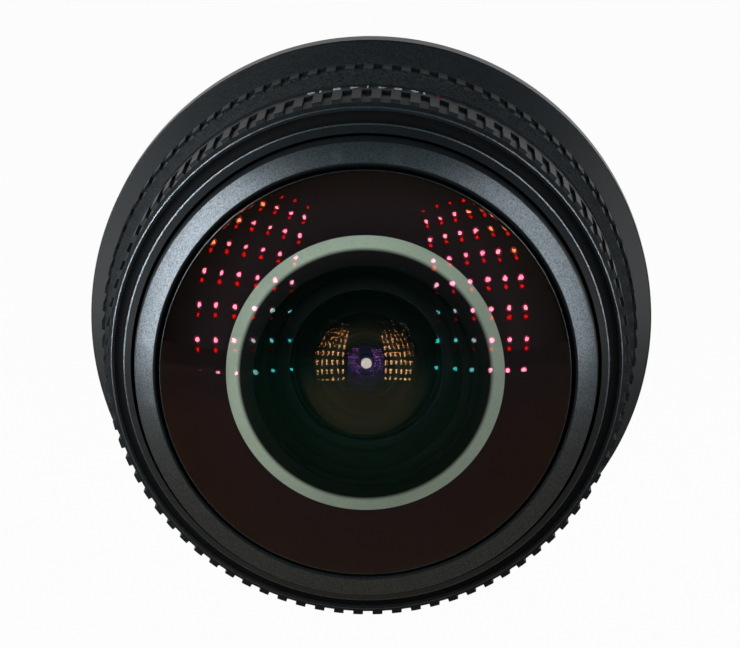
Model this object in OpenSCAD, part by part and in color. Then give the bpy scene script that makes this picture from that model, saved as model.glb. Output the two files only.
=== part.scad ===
// Fisheye lens with a domed front glass, a toothed focus ring, a toothed aperture ring and a bayonet
// The optical axis lies along Y, the front glass faces -Y, +Z is up and the mount seat is at the origin

/* [Front glass] */
// Spherical radius of the dome
dome_radius = 34; // [30:0.5:40]
// Radius of the glass where it leaves the bezel
glass_r = 20.65; // [19:0.05:21.5]
// Width of the ground step round the glass
glass_step = 1.15; // [1:0.05:1.6]
// Thickness of the stepped edge
glass_edge = 1.6; // [1.2:0.1:2]
// Height of the rim above the step
glass_rim = 1.9; // [1.7:0.1:2.4]
// Spherical radius of the hollow in the back
hollow_radius = 12.5; // [12:0.1:14]
// Mouth radius of that hollow
hollow_r = 11.2; // [11.1:0.02:11.4]
// Width of the ground ring round the mouth
frosted_w = 1.4; // [0.5:0.1:2]
// Depth of the ground ring
frosted_d = 0.1; // [0.05:0.05:0.2]

/* [Bezel and seal] */
// Wall of the cup that holds the glass
cup_wall = 0.72; // [0.6:0.02:1.2]
// Wall of the bezel
bezel_wall = 0.67; // [0.5:0.01:1.2]
// How far the bezel lip reaches over the step
bezel_lip = 0.8; // [0.5:0.05:0.9]
// Thickness of the lip
bezel_lip_t = 0.8; // [0.6:0.05:1]
// Width of the chamfer inside the lip
bezel_chamfer = 0.33; // [0.2:0.01:0.4]
// Drop of the bezel cone from front to back
bezel_drop = 1.32; // [1:0.02:1.6]
// Thickness of the seal
seal_t = 0.7; // [0.5:0.05:1]

/* [Trim ring] */
// Length of the trim ring in front of the focus ring
trim_len = 2.95; // [2.4:0.05:3.1]
// Radial width of its front cone
trim_cone_w = 0.77; // [0.6:0.01:0.9]
// Axial length of its front cone
trim_cone_len = 1.08; // [0.8:0.02:1.3]
// Radius of the cove behind it
trim_cove = 1.1; // [0.8:0.05:1.15]
// How far it sinks into the focus ring
trim_sink = 0.74; // [0.6:0.02:0.9]
// Broken edge at its bore
trim_break = 0.06; // [0.04:0.01:0.1]

/* [Focus ring] */
// Number of teeth on the focus ring
focus_teeth = 84; // [60:1:96]
// Length of the focus teeth
focus_tooth_len = 6.35; // [5:0.05:8]
// Plain land behind the focus teeth
focus_land = 0.6; // [0.4:0.05:1]
// Length of the nose in front of the teeth
focus_nose_len = 0.82; // [0.7:0.02:1.2]
// Drop in radius over the nose
focus_nose_drop = 0.43; // [0.2:0.01:0.5]
// Wall under the focus teeth
grip_wall = 0.8; // [0.7:0.02:1.2]
// Height of the teeth on both rings
tooth_h = 0.39; // [0.3:0.01:0.6]
// Share of the pitch that is tooth
tooth_share = 0.5; // [0.4:0.02:0.6]
// Turn of the focus ring from far to near, in degrees
focus_turn = 90; // [60:5:120]

/* [Focus works] */
// Step in from the bezel to the helicoid of the cell
thread_inset = 1.75; // [1.6:0.05:2]
// Wall of the helicoid sleeve
sleeve_wall = 1.02; // [0.8:0.02:1.3]
// Wall of the journal tube
journal_wall = 1.45; // [1.4:0.05:1.8]
// Wall of the focus carrier round the journal
carrier_wall = 1.15; // [1:0.05:1.5]
// Thickness of the carrier web
carrier_web = 1.4; // [1.2:0.05:2]
// Radius of the guide screws
guide_screw_r = 0.7; // [0.5:0.05:0.8]
// Depth of the groove that they run in
guide_groove_d = 0.8; // [0.6:0.05:1]
// Radius of the stop pin
stop_pin_r = 0.5; // [0.4:0.05:0.55]
// Length of the stop pin on each side of the scale barrel's face
stop_pin_len = 1.3; // [1:0.1:2]
// Radius of the small set screws
set_screw_r = 0.4; // [0.3:0.05:0.45]

/* [Scale barrel] */
// Length of the plain scale band
scale_len = 4.91; // [4:0.05:6.5]
// Step down from the focus teeth to the band
scale_drop = 0.22; // [0.1:0.02:0.5]

/* [Aperture ring] */
// Number of teeth on the aperture ring
aperture_teeth = 90; // [64:1:100]
// Length of the aperture teeth
aperture_tooth_len = 3.6; // [3.3:0.05:4.5]
// Plain land behind the aperture teeth
aperture_land = 0.41; // [0.3:0.01:0.8]
// Length of the chamfered band
band_len = 1.32; // [1:0.02:1.8]
// Rise in radius over the band
band_rise = 1; // [0.8:0.02:1.3]
// Turn of the aperture ring from open to closed, in degrees
aperture_turn = 45; // [30:1:48]

/* [Skirt and flange] */
// Length of the flared skirt
skirt_len = 4.78; // [4.2:0.02:6.5]
// Rise in radius over the skirt
skirt_flare = 1.85; // [1.2:0.01:2.6]
// Wall of the skirt
skirt_wall = 1.9; // [1.6:0.05:2.4]
// Thickness of the lip that centres the skirt on the journal
skirt_lip = 1.45; // [1.2:0.05:1.8]
// Length of the flange cylinder
flange_len = 3.57; // [3.2:0.02:5]
// Small chamfer on outer edges
edge_chamfer = 0.15; // [0.05:0.01:0.2]
// Radius of the red alignment dot
dot_r = 0.6; // [0.4:0.05:0.7]
// Depth of the alignment dot
dot_t = 0.8; // [0.5:0.05:1]

/* [Bayonet] */
// Radius of the spigot
spigot_r = 19.2; // [18.8:0.05:19.6]
// Wall of the spigot
spigot_wall = 1.8; // [1.4:0.05:2]
// Length of the spigot behind the seat
spigot_len = 5.5; // [5:0.1:6.5]
// Reach of the claws beyond the spigot
claw_h = 1.7; // [1.4:0.05:1.8]
// Thickness of the claws
claw_t = 1.4; // [1:0.05:1.8]
// Gap between seat and claws
claw_gap = 2; // [1.6:0.05:2.4]
// Width of each claw, in degrees
claw_arc = 56; // [40:1:64]
// How far the seat stands behind the flange
seat_lip = 1; // [0.5:0.05:1.4]
// How far the mount plate sinks into the base
plate_sink = 1.2; // [1:0.05:1.4]
// Edge of the flange left outside the mount plate
flange_edge = 1.82; // [1.6:0.02:2.2]
// Depth of the relief inside the seat
seat_relief = 0.2; // [0.1:0.02:0.4]
// Width of the relief past the claws
relief_margin = 0.7; // [0.4:0.05:1]
// Number of mount screws
mount_screw_n = 4; // [3:1:6]
// Head radius of the mount screws
mount_head_r = 1.6; // [1.2:0.05:1.8]
// Shank radius of the mount screws
mount_shank_r = 0.8; // [0.6:0.05:0.9]
// Thread length of the mount screws past the plate
mount_bite = 1.9; // [1.5:0.1:2]
// Radius of the lock pin hole
lock_hole_r = 1.3; // [1:0.05:1.5]
// Depth of the lock pin hole
lock_hole_d = 1.6; // [1:0.05:1.8]
// Radius of the opening in the rear baffle
baffle_r = 7; // [6:0.1:8]
// Wall of the rear baffle
baffle_wall = 0.8; // [0.6:0.05:1.2]
// How far the baffle ends inside the spigot
baffle_inset = 0.3; // [0.2:0.05:0.6]
// Width of the flange that holds the baffle
baffle_flange_w = 0.9; // [0.7:0.05:1.2]
// Thickness of that flange
baffle_flange_t = 0.75; // [0.5:0.05:0.9]

/* [Small fasteners] */
// Shank radius of the body screws
body_shank_r = 0.45; // [0.35:0.05:0.5]
// Head radius of the body screws
body_head_r = 0.8; // [0.6:0.05:0.9]
// Head height of all small screws
small_head_t = 0.6; // [0.4:0.05:0.7]
// Thread length of the body screws past their seat
body_bite = 1.9; // [1.5:0.1:2.5]

/* [Optical cell] */
// Gap between the focus ring and the flange of the cell
cell_gap = 0.3; // [0.2:0.05:0.5]
// Length of the cell flange
cell_flange = 2.95; // [2.6:0.05:3.4]
// Length of the shoulder behind the bezel
cell_shoulder = 2.12; // [1.9:0.02:2.2]
// Step in from the helicoid to the guide of the cell
guide_inset = 2.5; // [2.3:0.05:2.8]
// Wall of the cell tube
cell_wall = 1.6; // [1.4:0.05:1.8]
// Travel of the cell from far to near
focus_travel = 0.3; // [0.2:0.05:0.4]
// Width of the guide keys
key_w = 2; // [1.6:0.1:2.4]
// Length of the guide keys
key_len = 2.4; // [2.2:0.1:2.6]
// Depth of the keyways
keyway_d = 0.85; // [0.6:0.05:0.9]
// Thickness of the rear cell's flange
rear_flange_t = 1.8; // [1.4:0.05:2.2]
// Length of the cell tube behind that flange
cell_tail = 2.1; // [1.8:0.05:2.3]
// Width of the shoulder that the iris housing rests against
iris_shoulder = 2.4; // [2:0.05:2.6]

/* [Inner glass] */
// Depth of the second element's seat below the front glass
second_depth = 4; // [3.8:0.05:4.2]
// Edge radius of the second element
second_r = 11; // [10.5:0.05:11.5]
// Edge thickness of the second element
second_edge = 2.5; // [2.2:0.05:2.8]
// Front radius of the second element
second_front = 19; // [17:0.1:22]
// Hollow radius of the second element
second_hollow = 6.6; // [6.4:0.05:7]
// Mouth radius of that hollow
second_mouth = 6.2; // [5.8:0.05:6.3]
// Retainer width over the second element
second_retainer_w = 1.6; // [1.2:0.05:1.8]
// Length of the spacer behind the second element
spacer_len = 1.88; // [1.5:0.02:2.2]
// Wall of that spacer
spacer_w = 0.8; // [0.6:0.05:1]
// Edge radius of the third element
third_r = 7.2; // [6.8:0.05:7.5]
// Edge thickness of the third element
third_edge = 2.5; // [2.2:0.05:2.7]
// Front radius of the third element
third_front = 30; // [24:0.5:40]
// Hollow radius of the third element
third_hollow = 7; // [6.6:0.05:7.6]
// Mouth radius of that hollow
third_mouth = 5.4; // [5:0.05:5.6]
// Edge radius of the front doublet
front_pair_r = 5.2; // [5:0.05:5.4]
// Front radius of the front doublet
front_curve = 9; // [8.5:0.1:10]
// Cemented radius of the front doublet
front_cement = 10; // [9.5:0.1:11]
// Thickness of its crown
front_crown_t = 4; // [3.8:0.1:4.2]
// Thickness of its flint
front_flint_t = 1.8; // [1.6:0.1:2]
// Edge radius of the rear doublet
rear_pair_r = 5; // [4.8:0.05:5.2]
// Cemented radius of the rear doublet
rear_cement = 8; // [7.8:0.1:9]
// Rear radius of the rear doublet
rear_curve = 12; // [11.5:0.1:13]
// Thickness of its flint
rear_flint_t = 1.1; // [1:0.1:1.3]
// Thickness of its crown
rear_crown_t = 4; // [3.8:0.1:4.2]
// Width of the seats that the doublets rest on
pair_seat_w = 0.4; // [0.3:0.05:0.5]
// Air between the rear doublet and the rear element
rear_air = 0.6; // [0.4:0.05:0.9]
// Radius of both faces of the rear element
last_curve = 14; // [13:0.2:16]
// Thickness of the rear element
last_t = 4; // [3.8:0.1:4.2]
// Edge radius of the rear element
rear_r = 5.6; // [5.4:0.05:5.8]
// Wall of the tubes round the inner glass
barrel_wall = 1.65; // [1.5:0.05:2]
// Radial width of the thread rings that hold the doublets
retainer_w = 1.1; // [0.9:0.05:1.2]
// Length of the thread rings
retainer_len = 1; // [0.8:0.05:1.2]

/* [Iris] */
// Radius of the blade pivots
pivot_r = 9.5; // [9:0.05:10]
// Edge radius of the blades when open
blade_edge = 3.75; // [3.5:0.05:4]
// How far the fixed stop reaches past the open blades
stop_margin = 0.15; // [0.1:0.05:0.3]
// How far the iris ring stands back from the open blades
iris_margin = 0.5; // [0.4:0.05:0.8]
// Outer radius of the blade band
blade_out = 7.6; // [7.2:0.05:7.8]
// Opening radius when closed
iris_closed = 0.66; // [0.4:0.02:1.2]
// Angle from the pivot to the drive pin of a blade
drive_angle = 36; // [32:1:38]
// Arc of a blade past its pivot, in degrees
blade_arc = 128; // [120:1:132]
// Arc of a blade ahead of its pivot, in degrees
blade_lead = 6; // [4:1:8]
// Width of the ear round a blade pin
ear_w = 0.6; // [0.5:0.05:0.7]
// Thickness of a blade
blade_t = 0.1; // [0.06:0.01:0.12]
// Spacing of the blade levels
blade_pitch = 0.15; // [0.14:0.01:0.18]
// Radius of the blade pins
blade_pin_r = 0.45; // [0.35:0.05:0.5]
// Thickness of the iris ring
iris_ring_t = 1.5; // [1.4:0.05:1.7]
// How far its back lies in front of the aperture ring's back
iris_offset = 0.66; // [0.6:0.02:0.8]
// Radius of the pin that drives the iris ring
drive_pin_r = 0.55; // [0.5:0.05:0.65]
// Depth of that pin in the iris ring
pin_root = 2.4; // [2:0.05:2.6]
// Thickness of the iris plate
iris_plate_t = 0.8; // [0.6:0.05:1]

/* [Aperture fork] */
// Width of the fork
fork_w = 5; // [4:0.1:6]
// How far the drive pin reaches into the fork
pin_reach = 1.8; // [1.5:0.05:2]
// Thickness of the foot
foot_t = 0.9; // [0.8:0.05:1.2]
// Radial width of the foot
foot_w = 1.85; // [1.8:0.05:2]
// Half of the foot's arc, in degrees
foot_half = 12; // [11:0.5:14]
// Turn of its screws from the middle, in degrees
foot_screw_at = 8.5; // [8:0.1:9]
// Slack at each end of the foot in its pocket, in degrees
foot_slack = 1; // [0.5:0.1:1.5]

/* [Clearances] */
// Gap between pieces that are fixed together
fixed_gap = 0.03; // [0.02:0.01:0.05]
// Radial gap of a running fit
run_gap = 0.05; // [0.03:0.01:0.08]
// Radial gap of the helicoid
thread_gap = 0.08; // [0.05:0.01:0.1]
// Axial gap between the rings
ring_gap = 0.13; // [0.1:0.01:0.2]
// Open gap round moving pieces that don't touch
free_gap = 0.35; // [0.25:0.05:0.4]
// Open gap round the bezel
bezel_gap = 0.5; // [0.3:0.05:0.7]

/* [Hidden] */
$fn = 96;
eps = 0.5;
blade_n = 6;
screw_n = 3;
mount_screw_turn = 45;
tube_screw_turn = 90;
skirt_screw_turn = 20;
guide_screw_turn = 30;
set_screw_turn = 90;
stop_pin_turn = 200;
lock_hole_turn = 180;
dot_turn = 90;
claw_n = 3;
claw_turn = 90;
slot_steps = 12;
end_steps = 8;
slot_probe = 0.1;

step_r = glass_r + glass_step;
cup_in = step_r + fixed_gap;
cup_out = cup_in + cup_wall;
bezel_in = cup_out + fixed_gap;
bezel_r = bezel_in + bezel_wall;
lip_r = step_r - bezel_lip;
trim_bore = bezel_r + bezel_gap;
trim_edge_r = trim_bore + trim_cone_w;
thread_r = bezel_r - thread_inset;
sleeve_in = thread_r + thread_gap;
sleeve_out = sleeve_in + sleeve_wall;
journal_in = sleeve_out + free_gap;
journal_r = journal_in + journal_wall;
carrier_in = journal_r + run_gap;
carrier_r = carrier_in + carrier_wall;
grip_in = carrier_r + fixed_gap;
focus_root_r = grip_in + grip_wall;
focus_tip_r = focus_root_r + tooth_h;
scale_r = focus_tip_r - scale_drop;
band_r = scale_r + ring_gap;
aperture_root_r = band_r + band_rise;
aperture_tip_r = aperture_root_r + tooth_h;
flange_r = aperture_tip_r + skirt_flare;
guide_r = thread_r - guide_inset;
cell_in = guide_r - cell_wall;

flange_front = seat_lip + flange_len;
skirt_front = flange_front + skirt_len;
aperture_back = skirt_front + ring_gap;
aperture_teeth_back = aperture_back + aperture_land;
aperture_teeth_front = aperture_teeth_back + aperture_tooth_len;
aperture_front = aperture_teeth_front + band_len;
scale_back = aperture_front + ring_gap;
scale_front = scale_back + scale_len;
focus_back = scale_front + ring_gap;
focus_teeth_back = focus_back + focus_land;
focus_teeth_front = focus_teeth_back + focus_tooth_len;
focus_front = focus_teeth_front + focus_nose_len;
trim_front = focus_front + trim_len;
shoulder_z = focus_front + cell_gap;
seat_z = shoulder_z + cell_flange;
step_z = seat_z + glass_edge;
rim_z = step_z + glass_rim;
lip_z = step_z + seal_t + fixed_gap;
bezel_front = lip_z + bezel_lip_t;
bezel_edge_z = bezel_front - bezel_drop;
bezel_back = shoulder_z + cell_shoulder;
dome_centre = rim_z - sqrt(dome_radius * dome_radius - glass_r * glass_r);
dome_apex = dome_centre + dome_radius;
hollow_centre = seat_z - sqrt(hollow_radius * hollow_radius - hollow_r * hollow_r);

web_front = focus_front - trim_sink;
web_back = web_front - carrier_web;
journal_front = web_back - free_gap;
groove_z = (scale_front + journal_front) / 2;
guide_groove_w = 2 * guide_screw_r + 2 * run_gap;
stop_pin_at = (carrier_in + carrier_r) / 2;
stop_clear = asin((stop_pin_r + fixed_gap) / stop_pin_at);

iris_back = aperture_back + iris_offset;
pin_z = iris_back + iris_ring_t / 2;
iris_ring_front = pin_z + iris_ring_t / 2;
blade_back = iris_ring_front + ring_gap;
blade_front = blade_back + (blade_n - 1) * blade_pitch + blade_t;
plate_back = blade_front + ring_gap / 2;
plate_front = plate_back + iris_plate_t;
iris_out = cell_in - fixed_gap;
iris_in = iris_out - cell_wall;
blade_swing = 2 * asin((blade_edge - iris_closed) / (2 * pivot_r));
blade_ratio = blade_swing / aperture_turn;
blade_arm = 2 * pivot_r * sin(drive_angle / 2);
blade_arm_angle = 90 + drive_angle / 2;
pin_turn = -90 - aperture_turn / 2;
fork_tip_r = guide_r + 3 * free_gap;
pin_tip_r = fork_tip_r + pin_reach;
fork_back = aperture_back + ring_gap;
fork_front = pin_z + drive_pin_r + focus_travel + free_gap;
foot_in = carrier_in + ring_gap;
foot_out = foot_in + foot_w;
foot_screw_r = (foot_in + foot_out) / 2;

rear_seat_z = iris_back - ring_gap;
cell_back = rear_seat_z - rear_flange_t - cell_tail;
key_z = skirt_front - key_len / 2 - free_gap;
key_tip = guide_r - keyway_d + run_gap;

second_seat = seat_z - second_depth;
second_centre = second_seat + second_edge - sqrt(second_front * second_front - second_r * second_r);
second_hollow_centre = second_seat - sqrt(second_hollow * second_hollow - second_mouth * second_mouth);
third_top = second_seat - spacer_len;
third_seat = third_top - third_edge;
third_centre = third_top - sqrt(third_front * third_front - third_r * third_r);
third_hollow_centre = third_seat - sqrt(third_hollow * third_hollow - third_mouth * third_mouth);

nose_back = plate_front + free_gap;
front_pair_back = nose_back + retainer_len + fixed_gap;
front_cement_centre = front_pair_back + front_flint_t + front_cement;
front_curve_centre = front_pair_back + front_flint_t + front_crown_t - front_curve;
front_lip_r = front_pair_r - pair_seat_w;
front_lip_z = front_curve_centre + sqrt(front_curve * front_curve - front_lip_r * front_lip_r) + fixed_gap;

rear_ring_front = rear_seat_z - fixed_gap;
rear_pair_front = rear_ring_front - retainer_len - fixed_gap;
rear_cement_centre = rear_pair_front - rear_flint_t - rear_cement;
rear_curve_centre = rear_pair_front - rear_flint_t - rear_crown_t + rear_curve;
rear_lip_r = rear_pair_r - pair_seat_w;
rear_lip_front = rear_curve_centre - sqrt(rear_curve * rear_curve - rear_lip_r * rear_lip_r) - fixed_gap;
last_sag = last_curve - sqrt(last_curve * last_curve - rear_r * rear_r);
last_front = rear_pair_front - rear_flint_t - rear_crown_t - rear_air;
last_back = last_front - last_t;
last_edge_back = last_back + last_sag;
rear_lip_back = last_front - last_curve + sqrt(last_curve * last_curve - rear_lip_r * rear_lip_r) + fixed_gap;
rear_tube_back = last_edge_back - retainer_len - fixed_gap - eps;

mount_t = seat_lip + plate_sink;
mount_head_d = mount_head_r - mount_shank_r;
plate_r = flange_r - flange_edge;
claw_r = spigot_r + claw_h;
seat_in = claw_r + relief_margin;
mount_screw_at = (seat_in + plate_r) / 2;
spigot_in = spigot_r - spigot_wall;
base_web = flange_front - mount_t;
web_in = spigot_in + baffle_flange_w / 3;
baffle_out = spigot_in - fixed_gap;
baffle_flange_r = spigot_in + baffle_flange_w;
baffle_back = baffle_inset - spigot_len;
body_screw_tube_r = (journal_in + journal_r) / 2;
skirt_pocket_r = flange_r - skirt_flare - skirt_wall;
body_screw_skirt_r = (skirt_pocket_r + plate_r) / 2;

// Lays the lens on its axis: its own z runs from the mount seat to the front glass
module on_axis() {
    rotate([90, 0, 0]) children();
}

module tube(r_out, r_in, z0, z1) {
    difference() {
        translate([0, 0, z0]) cylinder(r = r_out, h = z1 - z0);
        translate([0, 0, z0 - eps]) cylinder(r = r_in, h = z1 - z0 + 2 * eps);
    }
}

module turned(profile) {
    rotate_extrude() polygon(profile);
}

module ball(radius, z) {
    translate([0, 0, z]) sphere(r = radius);
}

// A wedge of a disc between two angles, wide enough to cut anything out to radius r
module wedge(a0, a1, r, z0, z1) {
    steps = 6;
    reach = r * 1.2;
    rim = [for (i = [0:steps]) reach * [cos(a0 + (a1 - a0) * i / steps), sin(a0 + (a1 - a0) * i / steps)]];
    translate([0, 0, z0]) linear_extrude(height = z1 - z0) polygon(concat([[0, 0]], rim));
}

module around(n, start) {
    for (i = [0:n - 1]) rotate([0, 0, start + i * 360 / n]) children();
}

// A cylinder that points outwards along a radius
module radial(r, from, to, z) {
    translate([from, 0, z]) rotate([0, 90, 0]) cylinder(r = r, h = to - from);
}

// The slots between the teeth of a ring
module tooth_slots(n, root_r, z0, z1) {
    gap_w = 2 * PI * (root_r + tooth_h) / n * (1 - tooth_share);
    around(n, 0)
        translate([root_r, -gap_w / 2, z0]) cube([tooth_h + eps, gap_w, z1 - z0]);
}

// Places of the mount screws, of the screws into the tube and of those into the skirt
module at_mount_screws() {
    around(mount_screw_n, mount_screw_turn) translate([mount_screw_at, 0, 0]) children();
}

module at_body_screws() {
    around(screw_n, tube_screw_turn) translate([body_screw_tube_r, 0, 0]) children();
    around(screw_n, skirt_screw_turn) translate([body_screw_skirt_r, 0, 0]) children();
}

module mount_base() {
    wall_in = plate_r + fixed_gap;
    color("#34383c") on_axis() difference() {
        turned([
            [web_in, mount_t], [wall_in, mount_t], [wall_in, seat_lip], [flange_r - edge_chamfer, seat_lip],
            [flange_r, seat_lip + edge_chamfer], [flange_r, flange_front - edge_chamfer],
            [flange_r - edge_chamfer, flange_front], [web_in, flange_front]
        ]);
        at_mount_screws()
            translate([0, 0, mount_t - eps]) cylinder(r = mount_shank_r + fixed_gap, h = base_web + 2 * eps);
        at_body_screws() {
            translate([0, 0, mount_t - eps]) cylinder(r = body_shank_r + fixed_gap, h = base_web + 2 * eps);
            translate([0, 0, mount_t - eps])
                cylinder(r = body_head_r + fixed_gap, h = eps + small_head_t + fixed_gap);
        }
        rotate([0, 0, dot_turn]) translate([flange_r - flange_edge / 2, 0, seat_lip - eps])
            cylinder(r = dot_r + fixed_gap, h = eps + dot_t);
    }
}

module alignment_dot() {
    color("#b3121b") on_axis() rotate([0, 0, dot_turn]) translate([flange_r - flange_edge / 2, 0, seat_lip])
        cylinder(r = dot_r, h = dot_t);
}

module mount_ring() {
    color("#c9cbcc") on_axis() difference() {
        union() {
            turned([
                [spigot_in, -spigot_len], [spigot_r, -spigot_len], [spigot_r, seat_relief],
                [seat_in, seat_relief], [seat_in, 0], [plate_r, 0], [plate_r, mount_t],
                [baffle_flange_r + fixed_gap, mount_t],
                [baffle_flange_r + fixed_gap, mount_t - baffle_flange_t - fixed_gap],
                [spigot_in, mount_t - baffle_flange_t - fixed_gap]
            ]);
            intersection() {
                tube(claw_r, spigot_r - fixed_gap, -claw_gap - claw_t, -claw_gap);
                around(claw_n, claw_turn - claw_arc / 2)
                    wedge(0, claw_arc, claw_r, -claw_gap - 2 * claw_t, claw_t);
            }
        }
        at_mount_screws() {
            translate([0, 0, -eps]) cylinder(r = mount_shank_r + fixed_gap, h = mount_t + 2 * eps);
            translate([0, 0, -fixed_gap]) cylinder(r1 = mount_head_r + 2 * fixed_gap,
                r2 = mount_shank_r + fixed_gap, h = mount_head_d + 2 * fixed_gap);
        }
        rotate([0, 0, lock_hole_turn]) translate([mount_screw_at, 0, -eps])
            cylinder(r = lock_hole_r, h = eps + lock_hole_d);
    }
}

module mount_screws() {
    slot_w = 0.4;
    slot_d = 0.35;
    color("#a7abad") on_axis() at_mount_screws() difference() {
        union() {
            translate([0, 0, fixed_gap])
                cylinder(r1 = mount_head_r, r2 = mount_shank_r, h = mount_head_d);
            translate([0, 0, fixed_gap]) cylinder(r = mount_shank_r, h = mount_t + mount_bite);
        }
        for (a = [0, 90]) rotate([0, 0, a])
            translate([-mount_shank_r, -slot_w / 2, -eps]) cube([2 * mount_shank_r, slot_w, eps + slot_d]);
    }
}

module rear_baffle() {
    color("#141516") on_axis() turned([
        [baffle_r, baffle_back], [baffle_out, baffle_back],
        [baffle_out, mount_t - baffle_flange_t], [baffle_flange_r, mount_t - baffle_flange_t],
        [baffle_flange_r, mount_t - fixed_gap], [baffle_out - baffle_wall, mount_t - fixed_gap],
        [baffle_out - baffle_wall, baffle_back + baffle_wall],
        [baffle_r, baffle_back + baffle_wall]
    ]);
}

module skirt() {
    color("#3a3f43") on_axis() difference() {
        turned([
            [journal_r + fixed_gap, skirt_front - skirt_lip], [journal_r + fixed_gap, skirt_front],
            [aperture_tip_r - edge_chamfer, skirt_front], [aperture_tip_r, skirt_front - edge_chamfer],
            [flange_r - edge_chamfer, flange_front + edge_chamfer],
            [flange_r - 2 * edge_chamfer, flange_front], [skirt_pocket_r, flange_front],
            [skirt_pocket_r, skirt_front - skirt_lip]
        ]);
        around(screw_n, skirt_screw_turn) translate([body_screw_skirt_r, 0, flange_front - eps])
            cylinder(r = body_shank_r + fixed_gap, h = eps + body_bite + fixed_gap);
    }
}

module scale_barrel() {
    slot_half = asin((fork_w / 2 + free_gap) / journal_in);
    color("#2c3033") on_axis() difference() {
        turned([
            [guide_r + run_gap, scale_back], [journal_in, scale_back], [journal_in, flange_front],
            [journal_r, flange_front], [journal_r, scale_back], [scale_r - edge_chamfer, scale_back],
            [scale_r, scale_back + edge_chamfer], [scale_r, scale_front - edge_chamfer],
            [scale_r - edge_chamfer, scale_front], [journal_r, scale_front], [journal_r, journal_front],
            [journal_in, journal_front], [journal_in, scale_front], [guide_r + run_gap, scale_front]
        ]);
        tube(journal_r + eps, journal_r - guide_groove_d, groove_z - guide_groove_w / 2,
            groove_z + guide_groove_w / 2);
        intersection() {
            tube(journal_r + eps, journal_in - eps, fork_back - ring_gap, fork_front + ring_gap);
            wedge(pin_turn - slot_half, pin_turn + aperture_turn + slot_half, journal_r,
                fork_back - ring_gap, fork_front + ring_gap);
        }
        around(screw_n, tube_screw_turn) translate([body_screw_tube_r, 0, flange_front - eps])
            cylinder(r = body_shank_r + fixed_gap, h = eps + body_bite + fixed_gap);
        rotate([0, 0, stop_pin_turn]) translate([stop_pin_at, 0, scale_front - stop_pin_len - fixed_gap])
            cylinder(r = stop_pin_r + fixed_gap, h = stop_pin_len + eps);
        around(2, 0) {
            radial(body_shank_r + fixed_gap, journal_in - eps, journal_r + eps, key_z);
            radial(body_head_r + fixed_gap, journal_r - small_head_t - fixed_gap, journal_r + eps, key_z);
        }
    }
}

module small_screw(bite) {
    cylinder(r = body_head_r, h = small_head_t);
    cylinder(r = body_shank_r, h = small_head_t + bite);
}

module body_screws() {
    reach = base_web - small_head_t + body_bite;
    color("#8d9194") on_axis() {
        around(screw_n, tube_screw_turn) translate([body_screw_tube_r, 0, mount_t]) small_screw(reach);
        around(screw_n, skirt_screw_turn) translate([body_screw_skirt_r, 0, mount_t]) small_screw(reach);
    }
}

module guide_keys() {
    outer = journal_in - 2 * fixed_gap;
    color("#b79b5a") on_axis() around(2, 0) difference() {
        translate([key_tip, -key_w / 2, key_z - key_len / 2]) cube([outer - key_tip, key_w, key_len]);
        radial(body_shank_r + fixed_gap, outer - body_bite - fixed_gap, outer + eps, key_z);
    }
}

module key_screws() {
    color("#8d9194") on_axis() around(2, 0) {
        radial(body_shank_r, journal_in - body_bite, journal_r - small_head_t / 2, key_z);
        radial(body_head_r, journal_r - small_head_t, journal_r - fixed_gap, key_z);
    }
}

module focus_stop_pin() {
    color("#8d9194") on_axis() rotate([0, 0, stop_pin_turn])
        translate([stop_pin_at, 0, scale_front - stop_pin_len])
            cylinder(r = stop_pin_r, h = stop_pin_len + ring_gap + stop_pin_len);
}

module focus_carrier() {
    slot_top = focus_back + stop_pin_len + free_gap;
    color("#4a4e52") on_axis() difference() {
        turned([
            [sleeve_in, scale_front + free_gap], [sleeve_out, scale_front + free_gap], [sleeve_out, web_back],
            [carrier_in, web_back], [carrier_in, focus_back], [carrier_r, focus_back], [carrier_r, web_front],
            [sleeve_in, web_front]
        ]);
        intersection() {
            tube(carrier_r + eps, carrier_in - eps, focus_back - eps, slot_top);
            wedge(stop_pin_turn - focus_turn - stop_clear, stop_pin_turn + stop_clear, carrier_r,
                focus_back - eps, slot_top);
        }
        around(screw_n, guide_screw_turn)
            radial(guide_screw_r + fixed_gap, carrier_in - eps, carrier_r + eps, groove_z);
        around(screw_n, set_screw_turn)
            radial(set_screw_r + fixed_gap, carrier_r - set_screw_r, carrier_r + eps, groove_z);
    }
}

module focus_ring() {
    color("#2b2e31") on_axis() difference() {
        turned([
            [grip_in, focus_back], [focus_tip_r - edge_chamfer, focus_back],
            [focus_tip_r, focus_back + edge_chamfer], [focus_tip_r, focus_teeth_front],
            [focus_root_r, focus_teeth_front + edge_chamfer], [focus_root_r - focus_nose_drop, focus_front],
            [grip_in, focus_front]
        ]);
        tooth_slots(focus_teeth, focus_root_r, focus_teeth_back, focus_front);
        around(screw_n, set_screw_turn)
            radial(set_screw_r + fixed_gap, grip_in - eps, focus_tip_r + eps, groove_z);
    }
}

module focus_guide_screws() {
    slot_w = 0.3;
    color("#8d9194") on_axis() around(screw_n, guide_screw_turn) difference() {
        radial(guide_screw_r, journal_r - guide_groove_d + run_gap, carrier_r - fixed_gap, groove_z);
        translate([carrier_r - slot_w, -slot_w / 2, groove_z - guide_screw_r - eps])
            cube([eps + slot_w, slot_w, 2 * guide_screw_r + 2 * eps]);
    }
}

module focus_set_screws() {
    color("#2b2e31") on_axis() around(screw_n, set_screw_turn) difference() {
        radial(set_screw_r, carrier_r - set_screw_r + fixed_gap, focus_root_r - fixed_gap, groove_z);
        radial(set_screw_r / 2, focus_root_r - set_screw_r, focus_root_r + eps, groove_z);
    }
}

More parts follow.
